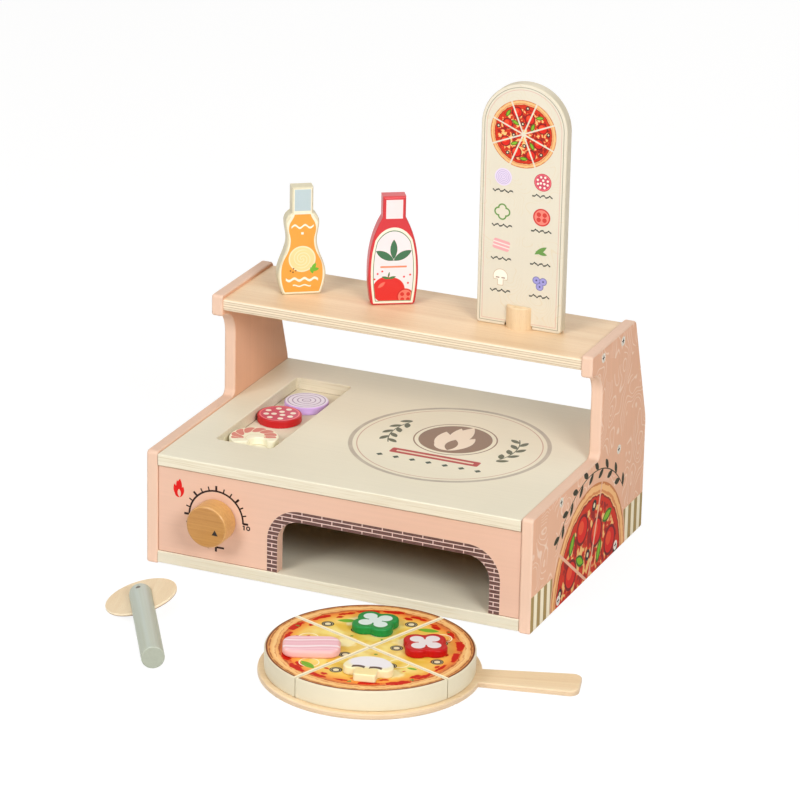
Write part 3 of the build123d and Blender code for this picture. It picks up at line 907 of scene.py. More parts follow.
@dataclass
class SubAssembly:
    """A group of the oven's pieces that are finished together."""

    nodes: dict[str, bpy.types.Object]

    def dress(self, material: bpy.types.Material, *names: str) -> None:
        """Gives the named pieces their material.

        Args:
            material: The finished material.
            names: The pieces' names.
        """
        for name in names:
            for slot in self.nodes[name].material_slots:
                slot.material = material
            LOG.info("%s is finished in %s", name, material.name)

    def dress_print(self, coat: Union[Enamel, Timber], art: Print, facing: Facing, least: float,
                    *names: str, elsewhere: Optional[Colour] = None) -> None:
        """Dresses pieces in a print on the faces that look one way.

        Args:
            coat: The paint or the varnish.
            art: The print.
            facing: The way that the printed faces look.
            least: How squarely they look that way, 0 to 1.
            names: The pieces' names.
            elsewhere: Colour of the other faces, if it isn't the print's ground.
        """
        face = art.recipe.looks(facing, least)
        self.dress(coat.finish(art.recipe, art.done(face, elsewhere)), *names)

    def build(self) -> None:
        """Makes the group's materials and dresses its pieces."""
        raise NotImplementedError


@dataclass
class FrontPanel(SubAssembly):
    """The pink front with its brick arch, its dial print and its flame."""

    edges: Spot = (13.8, 102.3)
    half_width: float = 188.0
    face: float = -146.0            # the print lies in front of this y
    mouth_at: Spot = (47.7, -30.0)
    mouth_half: Spot = (109.3, 99.5)
    mouth_corner: float = 23.0
    band: float = 10.7
    row: float = 4.25
    row_middle: float = 75.0
    brick: float = 20.8
    brick_start: float = -25.7
    mortar: float = 0.85
    dial: Spot = (-126.4, 57.6)
    arc_radius: float = 28.5
    arc_width: float = 1.9
    tick_radius: float = 34.0
    ten: Spot = (-93.6, 53.6)
    flame_at: Spot = (-166.3, 82.2)
    flame_height: float = 18.0
    pink: Enamel = Enamel("pink_front_paint", paint(230, 190, 167), gloss=0.25)
    ink: tuple = paint(40, 16, 12)

    def build(self) -> None:
        """Prints the front and dresses it."""
        art = self.pink.on_front(MIDDLE)
        recipe = art.recipe
        self.bricks(art)
        self.scale(art)
        Motifs(art).flame(self.flame_at, self.flame_height, paint(220, 14, 8), art.ground)
        self.joint(art)
        _, y, _ = recipe.split(recipe.place())
        face = recipe.looks(Facing.FRONT, 0.9) * (y < self.face)
        self.dress(self.pink.finish(recipe, art.done(face)), "front_panel")

    def joint(self, art: Print) -> None:
        """The dark line where the panel meets the boards round it, weaker on the right.

        Args:
            art: The front's print.
        """
        low, high = self.edges
        side = self.half_width - abs(art.across)
        rim = side.least((high - low) / 2 - abs(art.up - (low + high) / 2))
        weaker = (art.across > self.half_width - 2.0) * 0.45
        art.lay(rim - 0.55, paint(128, 76, 58), 0.5, 0.85 - weaker)

    def bricks(self, art: Print) -> None:
        """A running bond of bricks in a band round the oven's mouth.

        Args:
            art: The front's print.
        """
        mouth = art.box(self.mouth_at, self.mouth_half, self.mouth_corner)
        shade = art.recipe.noise(5.0, detail=2.0, shift=31.0)
        band = abs(mouth - self.band / 2) - self.band / 2
        art.lay(band, paint(236, 206, 196), 0.2)
        place = (art.up - self.row_middle) / self.row + 0.5
        row = place.whole()
        bed = abs(place - row - 0.5) * self.row - (self.row - self.mortar) / 2
        along = art.across - self.brick_start + (row % 2) * (self.brick / 2) + self.brick / 2
        joint = self.mortar / 2 - abs(along % self.brick - self.brick / 2)
        clay = art.recipe.ramp(shade, (0.3, paint(96, 68, 63)), (0.7, paint(116, 84, 78)))
        art.lay(band.most(bed).most(joint), clay, 0.2)

    def scale(self, art: Print) -> None:
        """The dial's three-quarter arc, its ticks, its start bar and a plain ten.

        Args:
            art: The front's print.
        """
        (x, z), (right, foot) = self.dial, self.ten
        reach = art.away(self.dial)
        art.lay(abs(reach - self.arc_radius) - self.arc_width / 2, self.ink, 0.16,
                1 - (art.across > x + 0.5) * (art.up < z - 0.5))
        for pitch, width, outer in ((15.0, 1.4, self.tick_radius - 1.0),
                                    (45.0, 2.3, self.tick_radius)):
            half = (outer - self.arc_radius) / 2
            tick = art.spokes(self.dial, pitch, 0.0, width)
            art.lay(tick.most(abs(reach - self.arc_radius - half) - half), self.ink, 0.16,
                    1 - (art.across > x + 2.0) * (art.up < z - 2.0))
        for spot, half, turn in (((x + 4.4, 28.3), (4.2, 1.0), 0.0),
                                 ((right - 3.1, foot), (0.75, 2.4), 0.0),
                                 ((right - 4.0, foot + 1.7), (0.75, 0.55), 30.0)):
            art.lay(art.box(spot, half, turn=turn), self.ink)
        nought = art.box((right + 1.2, foot), (2.2, 2.4), 2.0)
        art.lay(abs(nought + 0.7) - 0.66, self.ink)


@dataclass
class SidePanels(SubAssembly):
    """The two pink sides, printed outside with stripes, a half pizza and faint wavy lines."""

    outer: float = 200.0
    depth_half: float = 149.0
    stripe: float = 8.2
    stripe_top: float = 37.5
    stripes_wide: float = 54.0
    pizza_at: Spot = (0.8, -3.0)
    pizza_radius: float = 98.0
    garland_radius: float = 112.0
    pink: Enamel = Enamel("pink_side_paint", paint(236, 185, 153), Grain.ALONG_Z, gloss=0.05)
    # painted light: the edges and sloping tops are coloured paler than the flat sides
    edge: tuple = paint(235, 201, 178)

    def build(self) -> None:
        """Prints both sides and dresses them."""
        recipe, ground = self.pink.start()
        art = Print(recipe, (0.0, 0.0, 0.0), (0.0, 1.0, 0.0), (0.0, 0.0, 1.0), ground)
        self.lines(art)
        self.stripes(art)
        self.half_pizza(art)
        x, _, _ = recipe.split(recipe.place())
        outside = abs(recipe.towards(Facing.RIGHT))
        printed = (outside > 0.9) * (abs(x) > self.outer - 1.0)
        # Painted light: faces that don't look squarely sideways get the paler edge colour.
        edge = self.pink.ground(recipe, self.edge, 6.0)
        plain = recipe.mix(outside > 0.92, edge, ground)
        self.dress(self.pink.finish(recipe, art.done(printed, plain)),
                   "left_side_panel", "right_side_panel")

    def lines(self, art: Print) -> None:
        """Faint wavy lines, as round knots in a board.

        Args:
            art: The sides' print.
        """
        level = art.recipe.noise(54.0, (1.0, 1.0, 0.8), 1.5, 40.0)
        waves = abs((level * 26) % 1 - 0.5) - 0.085
        patches = art.recipe.noise(40.0, detail=0.0, shift=52.0) > 0.46
        art.lay(waves, paint(255, 232, 214), 0.1, patches * (art.up > 40.0) * 0.6)

    def stripes(self, art: Print) -> None:
        """Olive and cream stripes at the foot of both ends.

        Args:
            art: The sides' print.
        """
        pair = 2 * self.stripe
        for way in (1.0, -1.0):
            start = -way * self.depth_half
            along = (art.across - start) * way
            band = art.box((start + way * self.stripes_wide / 2, self.stripe_top / 2 - 5.0),
                           (self.stripes_wide / 2 + 0.5, self.stripe_top / 2 + 5.0))
            art.lay(band, paint(250, 240, 212))
            bar = abs((along + self.stripe / 2) % pair - self.stripe) - self.stripe / 2
            art.lay(bar.most(band), paint(170, 144, 88), 0.3)

    def half_pizza(self, art: Print) -> None:
        """The upper half of a pizza with one slice drawn up, under a row of leaves.

        Args:
            art: The sides' print.
        """
        y, z = self.pizza_at
        art.lay(art.disc(self.pizza_at, self.pizza_radius + 2.0), art.ground)
        Motifs(art).pizza(self.pizza_at, self.pizza_radius, 5, 0.0, 3.2)
        Motifs(art).garland((y, z - 1.0), self.garland_radius, (37.5, 142.5), 15, 14.0,
                            paint(44, 42, 20))


@dataclass
class Hob(SubAssembly):
    """The cream hob with its printed ring, and the other cream boards."""

    top_low: float = 114.0          # the print lies above this height
    half_width: float = 187.3
    ring_at: Spot = (53.6, -0.9)
    ring_radius: float = 96.5
    tray_at: Spot = (-126.0, 6.5)
    tray_half: Spot = (30.0, 94.5)
    cream: Enamel = Enamel("cream_hob_paint", paint(234, 228, 206), streak=0.07)
    # unpainted pine under the hob, darkened as painted shade for the inside of the oven
    pine_darkened_for_shade: Timber = Timber("raw_pine_darkened_for_shade", paint(176, 138, 90), paint(150, 112, 68))
    edge: tuple = paint(232, 225, 203)
    brown: tuple = paint(138, 108, 84)

    def build(self) -> None:
        """Prints the hob and dresses the cream boards."""
        art = self.cream.on_top(self.ring_at)
        recipe = art.recipe
        self.rings(art)
        self.emblem(art)
        x, _, z = recipe.split(recipe.place())
        top = recipe.looks(Facing.TOP)
        colour = recipe.mix(top, self.edge_paint(recipe), art.done(top * (z > self.top_low)))
        joint = ((abs(x) - self.half_width) * 1.4).most(0.0) * 0.8
        colour = recipe.mix(joint, colour, paint(150, 104, 78))
        # Faces that look down are unpainted pine, coloured dark: partly painted shade under the
        # hob.
        colour = recipe.mix(recipe.looks(Facing.UNDER), colour, self.pine_darkened_for_shade.ground(recipe, 3.0))
        self.dress(self.cream.finish(recipe, colour), "hob_board")
        self.inner_boards()

    def inner_boards(self) -> None:
        """Plain cream on the oven's floor and the tray's, with the dark joint round the tray's."""
        recipe = Recipe("cream_board_paint")
        ground = self.cream.ground(recipe, self.cream.colour, 8.0)
        colour = recipe.mix(recipe.looks(Facing.TOP), self.edge_paint(recipe, 0.9), ground)
        self.dress(self.cream.finish(recipe, colour), "bottom_board")
        recipe = Recipe("cream_tray_paint")
        ground = self.cream.ground(recipe, self.cream.colour, 8.0)
        art = Print.on_top(recipe, self.tray_at, 0.0, ground)
        side, end = self.tray_half
        wall = abs(abs(art.across) - side).least(abs(abs(art.up) - end))
        art.lay(wall - 0.8, paint(116, 90, 58), 0.6, 0.85)
        self.dress_print(self.cream, art, Facing.TOP, 0.7, "tray_floor")

    def edge_paint(self, recipe: Recipe, tone: float = 1.0) -> Wire:
        """Cream on an edge, where the streaks of the wood show more.

        Args:
            recipe: The material.
            tone: How light the paint is, 1 as it is named.

        Returns:
            The colour.
        """
        streaks = recipe.noise(0.9, Grain.ALONG_X.value, 3.0, 17.0)
        ground = self.cream.ground(recipe, tuple(part * tone for part in self.edge), 13.0)
        return recipe.mix((0.49 - streaks).most(0.0) * 3.0, ground, paint(206, 192, 158))

    def rings(self, art: Print) -> None:
        """A broad worn ring and a thin red one inside it.

        Args:
            art: The hob's print.
        """
        wear = art.recipe.noise(26.0, detail=3.0, shift=15.0)
        art.lay(art.ring(MIDDLE, self.ring_radius, 4.2), paint(170, 157, 142), 0.5,
                0.8 + (wear - 0.5) * 0.7)
        art.lay(art.ring(MIDDLE, self.ring_radius - 6.4, 1.0), paint(188, 142, 118), 0.4, 0.85)

    def emblem(self, art: Print) -> None:
        """A plate with a flame between two sprays of leaves, over a plain bar and diamonds.

        Args:
            art: The hob's print.
        """
        plate = (0.0, 14.0)
        art.lay(art.disc(plate, 36.0), self.brown, 0.3)
        art.lay(art.ring(plate, 40.5, 1.4), self.brown, 0.3)
        Motifs(art).flame((0.0, 16.0), 62.0, paint(240, 224, 204), self.brown)
        for start in (-28.0, 152.0):
            Motifs(art).garland((0.0, 10.0), 64.0, (start, start + 56.0), 8, 13.0,
                                paint(82, 84, 52))
        for half, corner, colour in (((46.0, 6.0), 2.2, paint(176, 54, 50)),
                                     ((40.0, 1.6), 0.5, paint(232, 214, 190))):
            art.lay(art.box((0.0, -37.0), half, corner), colour, 0.3)
        diamond = abs((art.across + 8.5) % 17 - 8.5) + abs(art.up + 53.0) - 3.6
        art.lay(diamond.most(abs(art.across) - 64.0), paint(58, 70, 50), 0.3)


@dataclass
class Woodwork(SubAssembly):
    """Everything in clear wood or steel: shelf, post, dowels, screws, and the back panel."""

    birch: Timber = Timber("clear_birch_shelf", paint(244, 217, 181), paint(229, 194, 152),
                           figure=14.0)
    shelf: Plies = Plies((214.0, 226.0), 5, paint(240, 224, 198), paint(172, 140, 100), 0.55,
                         0.92)
    beech: Timber = Timber("beech_post", paint(238, 214, 178), paint(224, 193, 151),
                           Grain.ALONG_Z, 5.0)
    pink: Enamel = Enamel("pink_back_paint", paint(236, 188, 160))
    # unpainted pine, in a tone darkened as painted shade for the inside of the oven
    pine_darkened_for_shade: Timber = Timber("raw_pine_darkened_for_shade", paint(156, 116, 70), paint(128, 90, 50))
    screw_recess: float = 199.65    # mm from the middle of the cabinet; within it a screw head is painted dark as shade in its recess

    def build(self) -> None:
        """Makes the clear woods and the zinc, and dresses their pieces."""
        recipe = Recipe(self.birch.name)
        wood = self.shelf.ground(recipe, self.birch.ground(recipe))
        self.dress(self.birch.finish(recipe, wood), "shelf_board")
        recipe = Recipe(self.beech.name)
        self.dress(self.beech.finish(recipe, self.beech.ground(recipe)), "sign_post",
                   "front_panel_dowels", "back_panel_dowels")
        self.dress(Zinc("zinc_plated_screw", recess=self.screw_recess).make(),
                   "side_screws_left", "side_screws_right")
        self.dress(Zinc().make(), "knob_screw", "knob_washer")
        recipe, ground = self.pink.start()
        # The back's inner face is unpainted pine, coloured dark: partly painted shade for the
        # oven's dark inside.
        colour = recipe.mix(recipe.looks(Facing.FRONT), ground, self.pine_darkened_for_shade.ground(recipe, 6.0))
        self.dress(self.pink.finish(recipe, colour), "back_panel")


@dataclass
class Knob(SubAssembly):
    """The round beech knob with its printed pointer."""

    pointer: Spot = (-116.8, 52.2)
    pointer_side: float = 6.6
    side_tone: tuple = (1.34, 1.52, 1.95)
    beech: Timber = Timber("varnished_beech_knob", paint(199, 146, 77), paint(179, 122, 59),
                           Grain.ALONG_X, 2.2, coat=0.35, roughness=0.4)

    def build(self) -> None:
        """Grains the knob, prints its pointer and dresses it."""
        recipe = Recipe(self.beech.name)
        wood = self.beech.ground(recipe)
        art = Print.on_front(recipe, self.pointer, wood)
        inner = self.pointer_side * math.sqrt(3) / 6
        arrow = (-art.up - inner).most(abs(art.across) * 0.866 + art.up * 0.5 - inner)
        art.lay(arrow, paint(18, 8, 4))
        self.dress_print(self.beech, art, Facing.FRONT, 0.8, "knob",
                         elsewhere=recipe.vector("MULTIPLY", wood, self.side_tone))


@dataclass
class MenuSign(SubAssembly):
    """The cream menu board with its border lines, a pizza and eight food pictures."""

    foot: Spot = (101.5, 226.0)
    half: float = 44.0
    spring: float = 200.5
    rows: tuple = (150.0, 115.0, 81.5, 49.0)
    columns: Spot = (-20.0, 20.5)
    icon: float = 8.8
    cream: Enamel = Enamel("cream_sign_paint", paint(224, 216, 197), Grain.ALONG_Z, streak=0.05)

    def build(self) -> None:
        """Prints the board and dresses it."""
        art = self.cream.on_front(self.foot)
        self.waves(art)
        self.border(art)
        Motifs(art).pizza((-0.8, 195.0), 33.6, 8, 22.5, 1.5)
        self.icons(art)
        self.rules(art)
        # Painted shade: the board's edges and back are coloured a darker cream than its face.
        self.dress_print(self.cream, art, Facing.FRONT, 0.9, "sign_board",
                         elsewhere=self.cream.ground(art.recipe, paint(216, 206, 182), 5.0))

    def waves(self, art: Print) -> None:
        """Faint wavy lines in the paint's own tone.

        Args:
            art: The sign's print.
        """
        level = art.recipe.noise(34.0, detail=1.0, shift=61.0)
        waves = abs((level * 20) % 1 - 0.5) - 0.06
        patches = art.recipe.noise(28.0, detail=0.0, shift=72.0) > 0.52
        art.lay(waves, paint(222, 208, 178), 0.08, patches * 0.7)

    def border(self, art: Print) -> None:
        """An olive line and a pink one that follow the board's outline.

        Args:
            art: The sign's print.
        """
        over = (art.up - self.spring).most(0.0)
        outline = (art.across.squared() + over.squared()).root() - self.half
        outline = outline.most(-art.up)
        art.lay(abs(outline + 3.5) - 0.22, paint(112, 106, 84), 0.2)
        art.lay(abs(outline + 5.8) - 0.2, paint(214, 160, 150), 0.2)

    def icons(self, art: Print) -> None:
        """Eight small pictures of food in two columns.

        Args:
            art: The sign's print.
        """
        left, right = self.columns
        top, upper, lower, foot = self.rows
        art.lay(art.disc((left, top), self.icon), paint(228, 214, 236))
        Motifs(art).onion((left, top), self.icon, paint(176, 156, 198))
        Motifs(art).salami((right, top), self.icon)
        self.pepper_ring(art, (left, upper))
        self.tomato(art, (right, upper))
        self.ham(art, (left, lower))
        art.lay(art.leaves((right, lower), 15.0, Motifs.SPRIG), paint(104, 150, 70), 0.2)
        self.mushroom(art, (left, foot))
        berries = art.nearest(beside((right, foot), ((-3.4, 2.2), (3.6, 1.6), (0.2, -3.9))))
        art.stack(berries, (3.9, paint(92, 84, 140)), (3.4, paint(158, 154, 214), 0.5),
                  (0.9, paint(70, 62, 116), 0.4))

    def rules(self, art: Print) -> None:
        """A short wavy rule under each food.

        Args:
            art: The sign's print.
        """
        swing = (art.across * 0.95).sine() * 0.95 + (art.across * 2.3).sine() * 0.25
        for row in self.rows:
            height = row - self.icon - 5.0
            spaces = art.nearest([(column, height) for column in self.columns]) - 10.5
            art.lay((abs(art.up - height - swing) - 0.75).most(spaces), paint(52, 54, 42), 0.3)

    def pepper_ring(self, art: Print, spot: Spot) -> None:
        """A ring of green pepper.

        Args:
            art: The sign's print.
            spot: Its middle.
        """
        reach = art.nearest(beside(spot, ((-3.7, 0.0), (3.7, 0.0), (0.0, 3.7), (0.0, -3.7))))
        art.lay(reach - 4.6, paint(104, 148, 66), 0.3)
        art.lay((reach - 3.1).least(art.disc(spot, 3.2)), art.ground, 0.3)

    def tomato(self, art: Print, spot: Spot) -> None:
        """A slice of tomato with four pockets.

        Args:
            art: The sign's print.
            spot: Its middle.
        """
        art.stack(art.away(spot), (self.icon, paint(206, 52, 50)),
                  (self.icon * 0.84, paint(240, 132, 116), 0.4))
        pockets = art.nearest(beside(spot, ((-3.0, 2.6), (3.0, 2.6), (-3.0, -2.6), (3.0, -2.6))))
        art.lay(pockets - 2.3, paint(212, 60, 52), 0.4)

    def ham(self, art: Print, spot: Spot) -> None:
        """A slice of ham with two pale streaks.

        Args:
            art: The sign's print.
            spot: Its middle.
        """
        ham = art.box(spot, (8.6, 5.2), 2.2, -10.0)
        art.lay(ham, paint(236, 168, 170))
        wave = art.up - spot[1] + (art.across - spot[0]) * 0.18
        for rise in (-1.7, 1.8):
            art.lay((abs(wave - rise) - 0.6).most(ham), paint(250, 226, 220), 0.4)

    def mushroom(self, art: Print, spot: Spot) -> None:
        """Half a mushroom with its two gills.

        Args:
            art: The sign's print.
            spot: Its middle.
        """
        for grow, colour in ((0.5, paint(196, 168, 136)), (0.0, paint(250, 242, 226))):
            cap = art.disc((spot[0], spot[1] + 0.5), 7.2 + grow)
            cap = cap.most(-(art.up - spot[1] + 2.2 + grow))
            stem = art.box((spot[0], spot[1] - 4.0), (2.6 + grow, 4.0 + grow), 0.8)
            art.lay(cap.least(stem), colour)
        gills = abs(abs(art.across - spot[0]) - 2.9) - 1.8
        art.lay(gills.most(abs(art.up - spot[1] + 0.6) - 0.5), paint(126, 84, 62), 0.3)


@dataclass
class SauceBottles(SubAssembly):
    """Two flat bottles with printed labels; a flank is heights and half widths, from the foot."""

    shelf: float = 226.0
    yellow_at: Spot = (-129.8, 48.3)
    yellow_turn: float = 34.5
    yellow_flank: tuple = ((0.0, 18.6), (24.0, 23.6), (55.5, 14.6), (69.0, 16.4), (84.5, 10.6),
                           (110.5, 10.6))
    red_at: Spot = (-37.2, 60.7)
    red_turn: float = 31.6
    red_flank: tuple = ((0.0, 21.5), (38.0, 24.5), (66.8, 20.6), (89.5, 11.4), (111.3, 11.4))
    widest: float = 30.0            # half width at the top of the flank's curve
    cream: Enamel = Enamel("cream_bottle_paint", paint(226, 217, 186), Grain.ALONG_Z)
    red: Enamel = Enamel("red_bottle_paint", paint(212, 48, 54), Grain.ALONG_Z, streak=0.05,
                         roughness=0.36, coat=0.25)

    def build(self) -> None:
        """Prints both bottles and dresses them."""
        self.yellow()
        self.tomato_red()

    def label(self, coat: Enamel, at: Spot, turn: float) -> tuple[Print, Wire]:
        """Starts a bottle's print.

        Args:
            coat: The bottle's paint.
            at: The middle of its foot.
            turn: Degrees it is turned.

        Returns:
            The print, and the mask of the flat faces that it lies on.
        """
        recipe, ground = coat.start()
        along, facing = around(MIDDLE, ((1.0, turn), (1.0, turn - 90)))
        art = Print(recipe, (*at, self.shelf), (*along, 0.0), (0.0, 0.0, 1.0), ground)
        return art, abs(recipe.towards((*facing, 0.0))) > 0.97

    def flank(self, art: Print, flank: tuple) -> Wire:
        """Distance out from the bottle's own edge, on a smooth curve up its height.

        Args:
            art: The bottle's print.
            flank: Its heights and half widths.

        Returns:
            The distance, negative inside.
        """
        height = flank[-1][0]
        bends = [(up / height, half / self.widest) for up, half in (flank[0], flank[-1],
                                                                    *flank[1:-1])]
        curve = art.recipe.node("ShaderNodeFloatCurve", {"bends": bends},
                                {"Value": art.up / height})
        return abs(art.across) - curve * self.widest

    def yellow(self) -> None:
        """Cream edge, orange field, a window in the cap, a bowl of sauce and herbs."""
        art, flat = self.label(self.cream, self.yellow_at, self.yellow_turn)
        bright = self.cream.ground(art.recipe, paint(246, 239, 214), 4.0)
        inset = self.flank(art, self.yellow_flank)
        art.lay(inset.most(-art.up), bright)
        orange = (inset + 3.0).most(2.9 - art.up).most(art.up - 83.0)
        art.lay(orange, paint(238, 166, 68))
        art.lay(art.box((0.0, 97.5), (8.0, 11.0), 0.3), paint(190, 208, 212))
        bowl = (0.0, 37.0)
        reach = art.away(bowl)
        art.stack(reach, (13.4, paint(252, 236, 196), 0.3), (12.2, paint(250, 222, 158), 0.4))
        swirl = abs((reach + art.bearing(bowl) / 60) % 3.1 - 1.55) - 0.28
        art.lay(swirl, paint(252, 238, 200), 0.5, (reach - 9.6).inside(0.5))
        art.lay(art.leaves((11.5, 27.5), 9.0, ((0.0, 0.1, 1.0, 0.42, 62.0),
                                               (0.15, -0.2, 0.9, 0.4, 10.0),
                                               (-0.2, -0.3, 0.8, 0.36, 110.0))),
                paint(112, 184, 52), 0.2)
        grains = art.nearest(((-11.5, 25.0), (-8.4, 27.2), (-9.0, 23.6), (-6.2, 25.2)))
        art.lay(grains - 0.8, paint(140, 84, 40), 0.3)
        wave = (art.across * 0.62).sine()
        for rise, half, swing, thick in ((70.5, 11.0, 1.5, 1.0), (63.5, 1.2, 0.0, 1.2),
                                         (15.8, 16.0, 1.2, 1.3), (9.4, 9.0, 0.7, 0.7)):
            line = abs(art.up - rise - wave * swing) - thick
            art.lay(line.most(abs(art.across) - half), paint(254, 246, 226), 0.3)
        self.dress(self.cream.finish(art.recipe, art.done(flat)), "sauce_bottle_yellow")

    def tomato_red(self) -> None:
        """Red paint, a pale window and an arched label with tomatoes and basil."""
        art, flat = self.label(self.red, self.red_at, self.red_turn)
        art.lay(art.box((0.0, 98.4), (8.2, 9.6), 0.3), paint(250, 228, 228))
        flank = self.flank(art, self.red_flank) + 2.4
        over = (art.up - 48.0).most(0.0) / 31.8
        arch = ((art.across / 22.6).squared() + over.squared()).root()
        edge = flank.most(2.0 - art.up).most((arch - 1) * 22.6)
        art.stack(edge, (0.0, paint(252, 240, 220)), (-2.1, paint(84, 136, 92)),
                  (-2.8, paint(250, 232, 234)))
        inside = (edge + 2.8).inside(0.2)
        skin = paint(222, 34, 30)
        art.lay(art.disc((-7.0, 16.0), 13.4).least(art.disc((-1.5, 15.5), 13.0)), skin, 0.3,
                inside)
        art.lay(art.leaf((-11.5, 21.0), 9.0, 3.2, 40.0), paint(246, 116, 96), 0.8, inside)
        art.lay(art.leaves((-4.5, 28.4), 8.0, ((-0.4, 0.0, 1.0, 0.32, 165.0),
                                               (0.4, 0.0, 1.0, 0.32, 15.0),
                                               (0.0, 0.35, 0.8, 0.22, 80.0))),
                paint(66, 122, 58), 0.2)
        art.stack(art.away((12.0, 8.5)), (8.4, paint(206, 26, 26), 0.3, inside),
                  (7.0, paint(244, 124, 104), 0.3, inside))
        pockets = art.nearest(((9.0, 11.0), (15.0, 11.0), (9.2, 5.6), (14.8, 5.6)))
        art.lay(pockets - 2.0, paint(216, 42, 36), 0.4, inside)
        art.lay(art.leaves((0.0, 51.0), 29.0, ((-0.3, 0.0, 0.7, 0.26, 150.0),
                                               (0.3, 0.0, 0.7, 0.26, 30.0),
                                               (0.0, 0.22, 0.7, 0.24, 90.0))),
                paint(60, 112, 74), 0.2, inside)
        art.lay(art.box((0.0, 39.5), (13.0, 0.9), 0.5), paint(236, 140, 96), 0.2, inside)
        drops = art.nearest(((-15.5, 32.5), (-11.0, 35.0), (14.5, 22.5), (10.5, 29.0),
                             (16.5, 31.0), (-18.5, 27.0)))
        art.lay(drops - 1.0, skin, 0.3, inside)
        self.dress(self.red.finish(art.recipe, art.done(flat)), "sauce_bottle_red")


@dataclass
class TrayFood(SubAssembly):
    """The salami, the onion and the shrimp in the hob's tray."""

    salami_at: Spot = (-133.4, 10.5)
    onion_at: Spot = (-124.8, 55.6)
    shrimp_at: Spot = (-130.2, -55.5)
    radius: float = 22.0
    red: Enamel = Enamel("red_salami_paint", paint(196, 20, 28), streak=0.04, roughness=0.38)
    lilac: Enamel = Enamel("lilac_onion_paint", paint(212, 178, 240), streak=0.04)
    cream: Enamel = Enamel("cream_shrimp_paint", paint(250, 245, 218), streak=0.04)

    def build(self) -> None:
        """Prints the three and dresses them."""
        art = self.red.on_top(self.salami_at, 8.0)
        Motifs(art).salami(MIDDLE, self.radius)
        self.dress_print(self.red, art, Facing.TOP, 0.85, "pepperoni")
        art = self.lilac.on_top(self.onion_at, 10.0)
        pale = self.lilac.ground(art.recipe, paint(238, 234, 250), 3.0)
        art.lay(art.disc(MIDDLE, 21.2), pale, 0.6)
        Motifs(art).onion(MIDDLE, self.radius, paint(166, 146, 182), (4.2, 9.0, 14.0, 18.6))
        self.dress_print(self.lilac, art, Facing.TOP, 0.85, "onion")
        self.shrimp()

    def shrimp(self) -> None:
        """Cream all round, with salmon bands that lean along the back of the curl."""
        art = self.cream.on_top(self.shrimp_at, 26.0)
        heart = (1.5, -5.0)
        reach = art.away()
        wedge = art.bearing(heart) + reach * 1.5 + 270
        part = abs(wedge % 26 - 13.0)
        band = abs(reach - 16.4) - 6.2 + (part * 0.2).squared() * 0.3
        art.lay(band.most((part - 11.9) * 0.35).most(-art.up - 6.0), paint(219, 136, 124), 0.5)
        art.lay(art.ring(heart, 9.6, 0.6), paint(236, 224, 188), 0.6)
        self.dress_print(self.cream, art, Facing.TOP, 0.85, "shrimp")


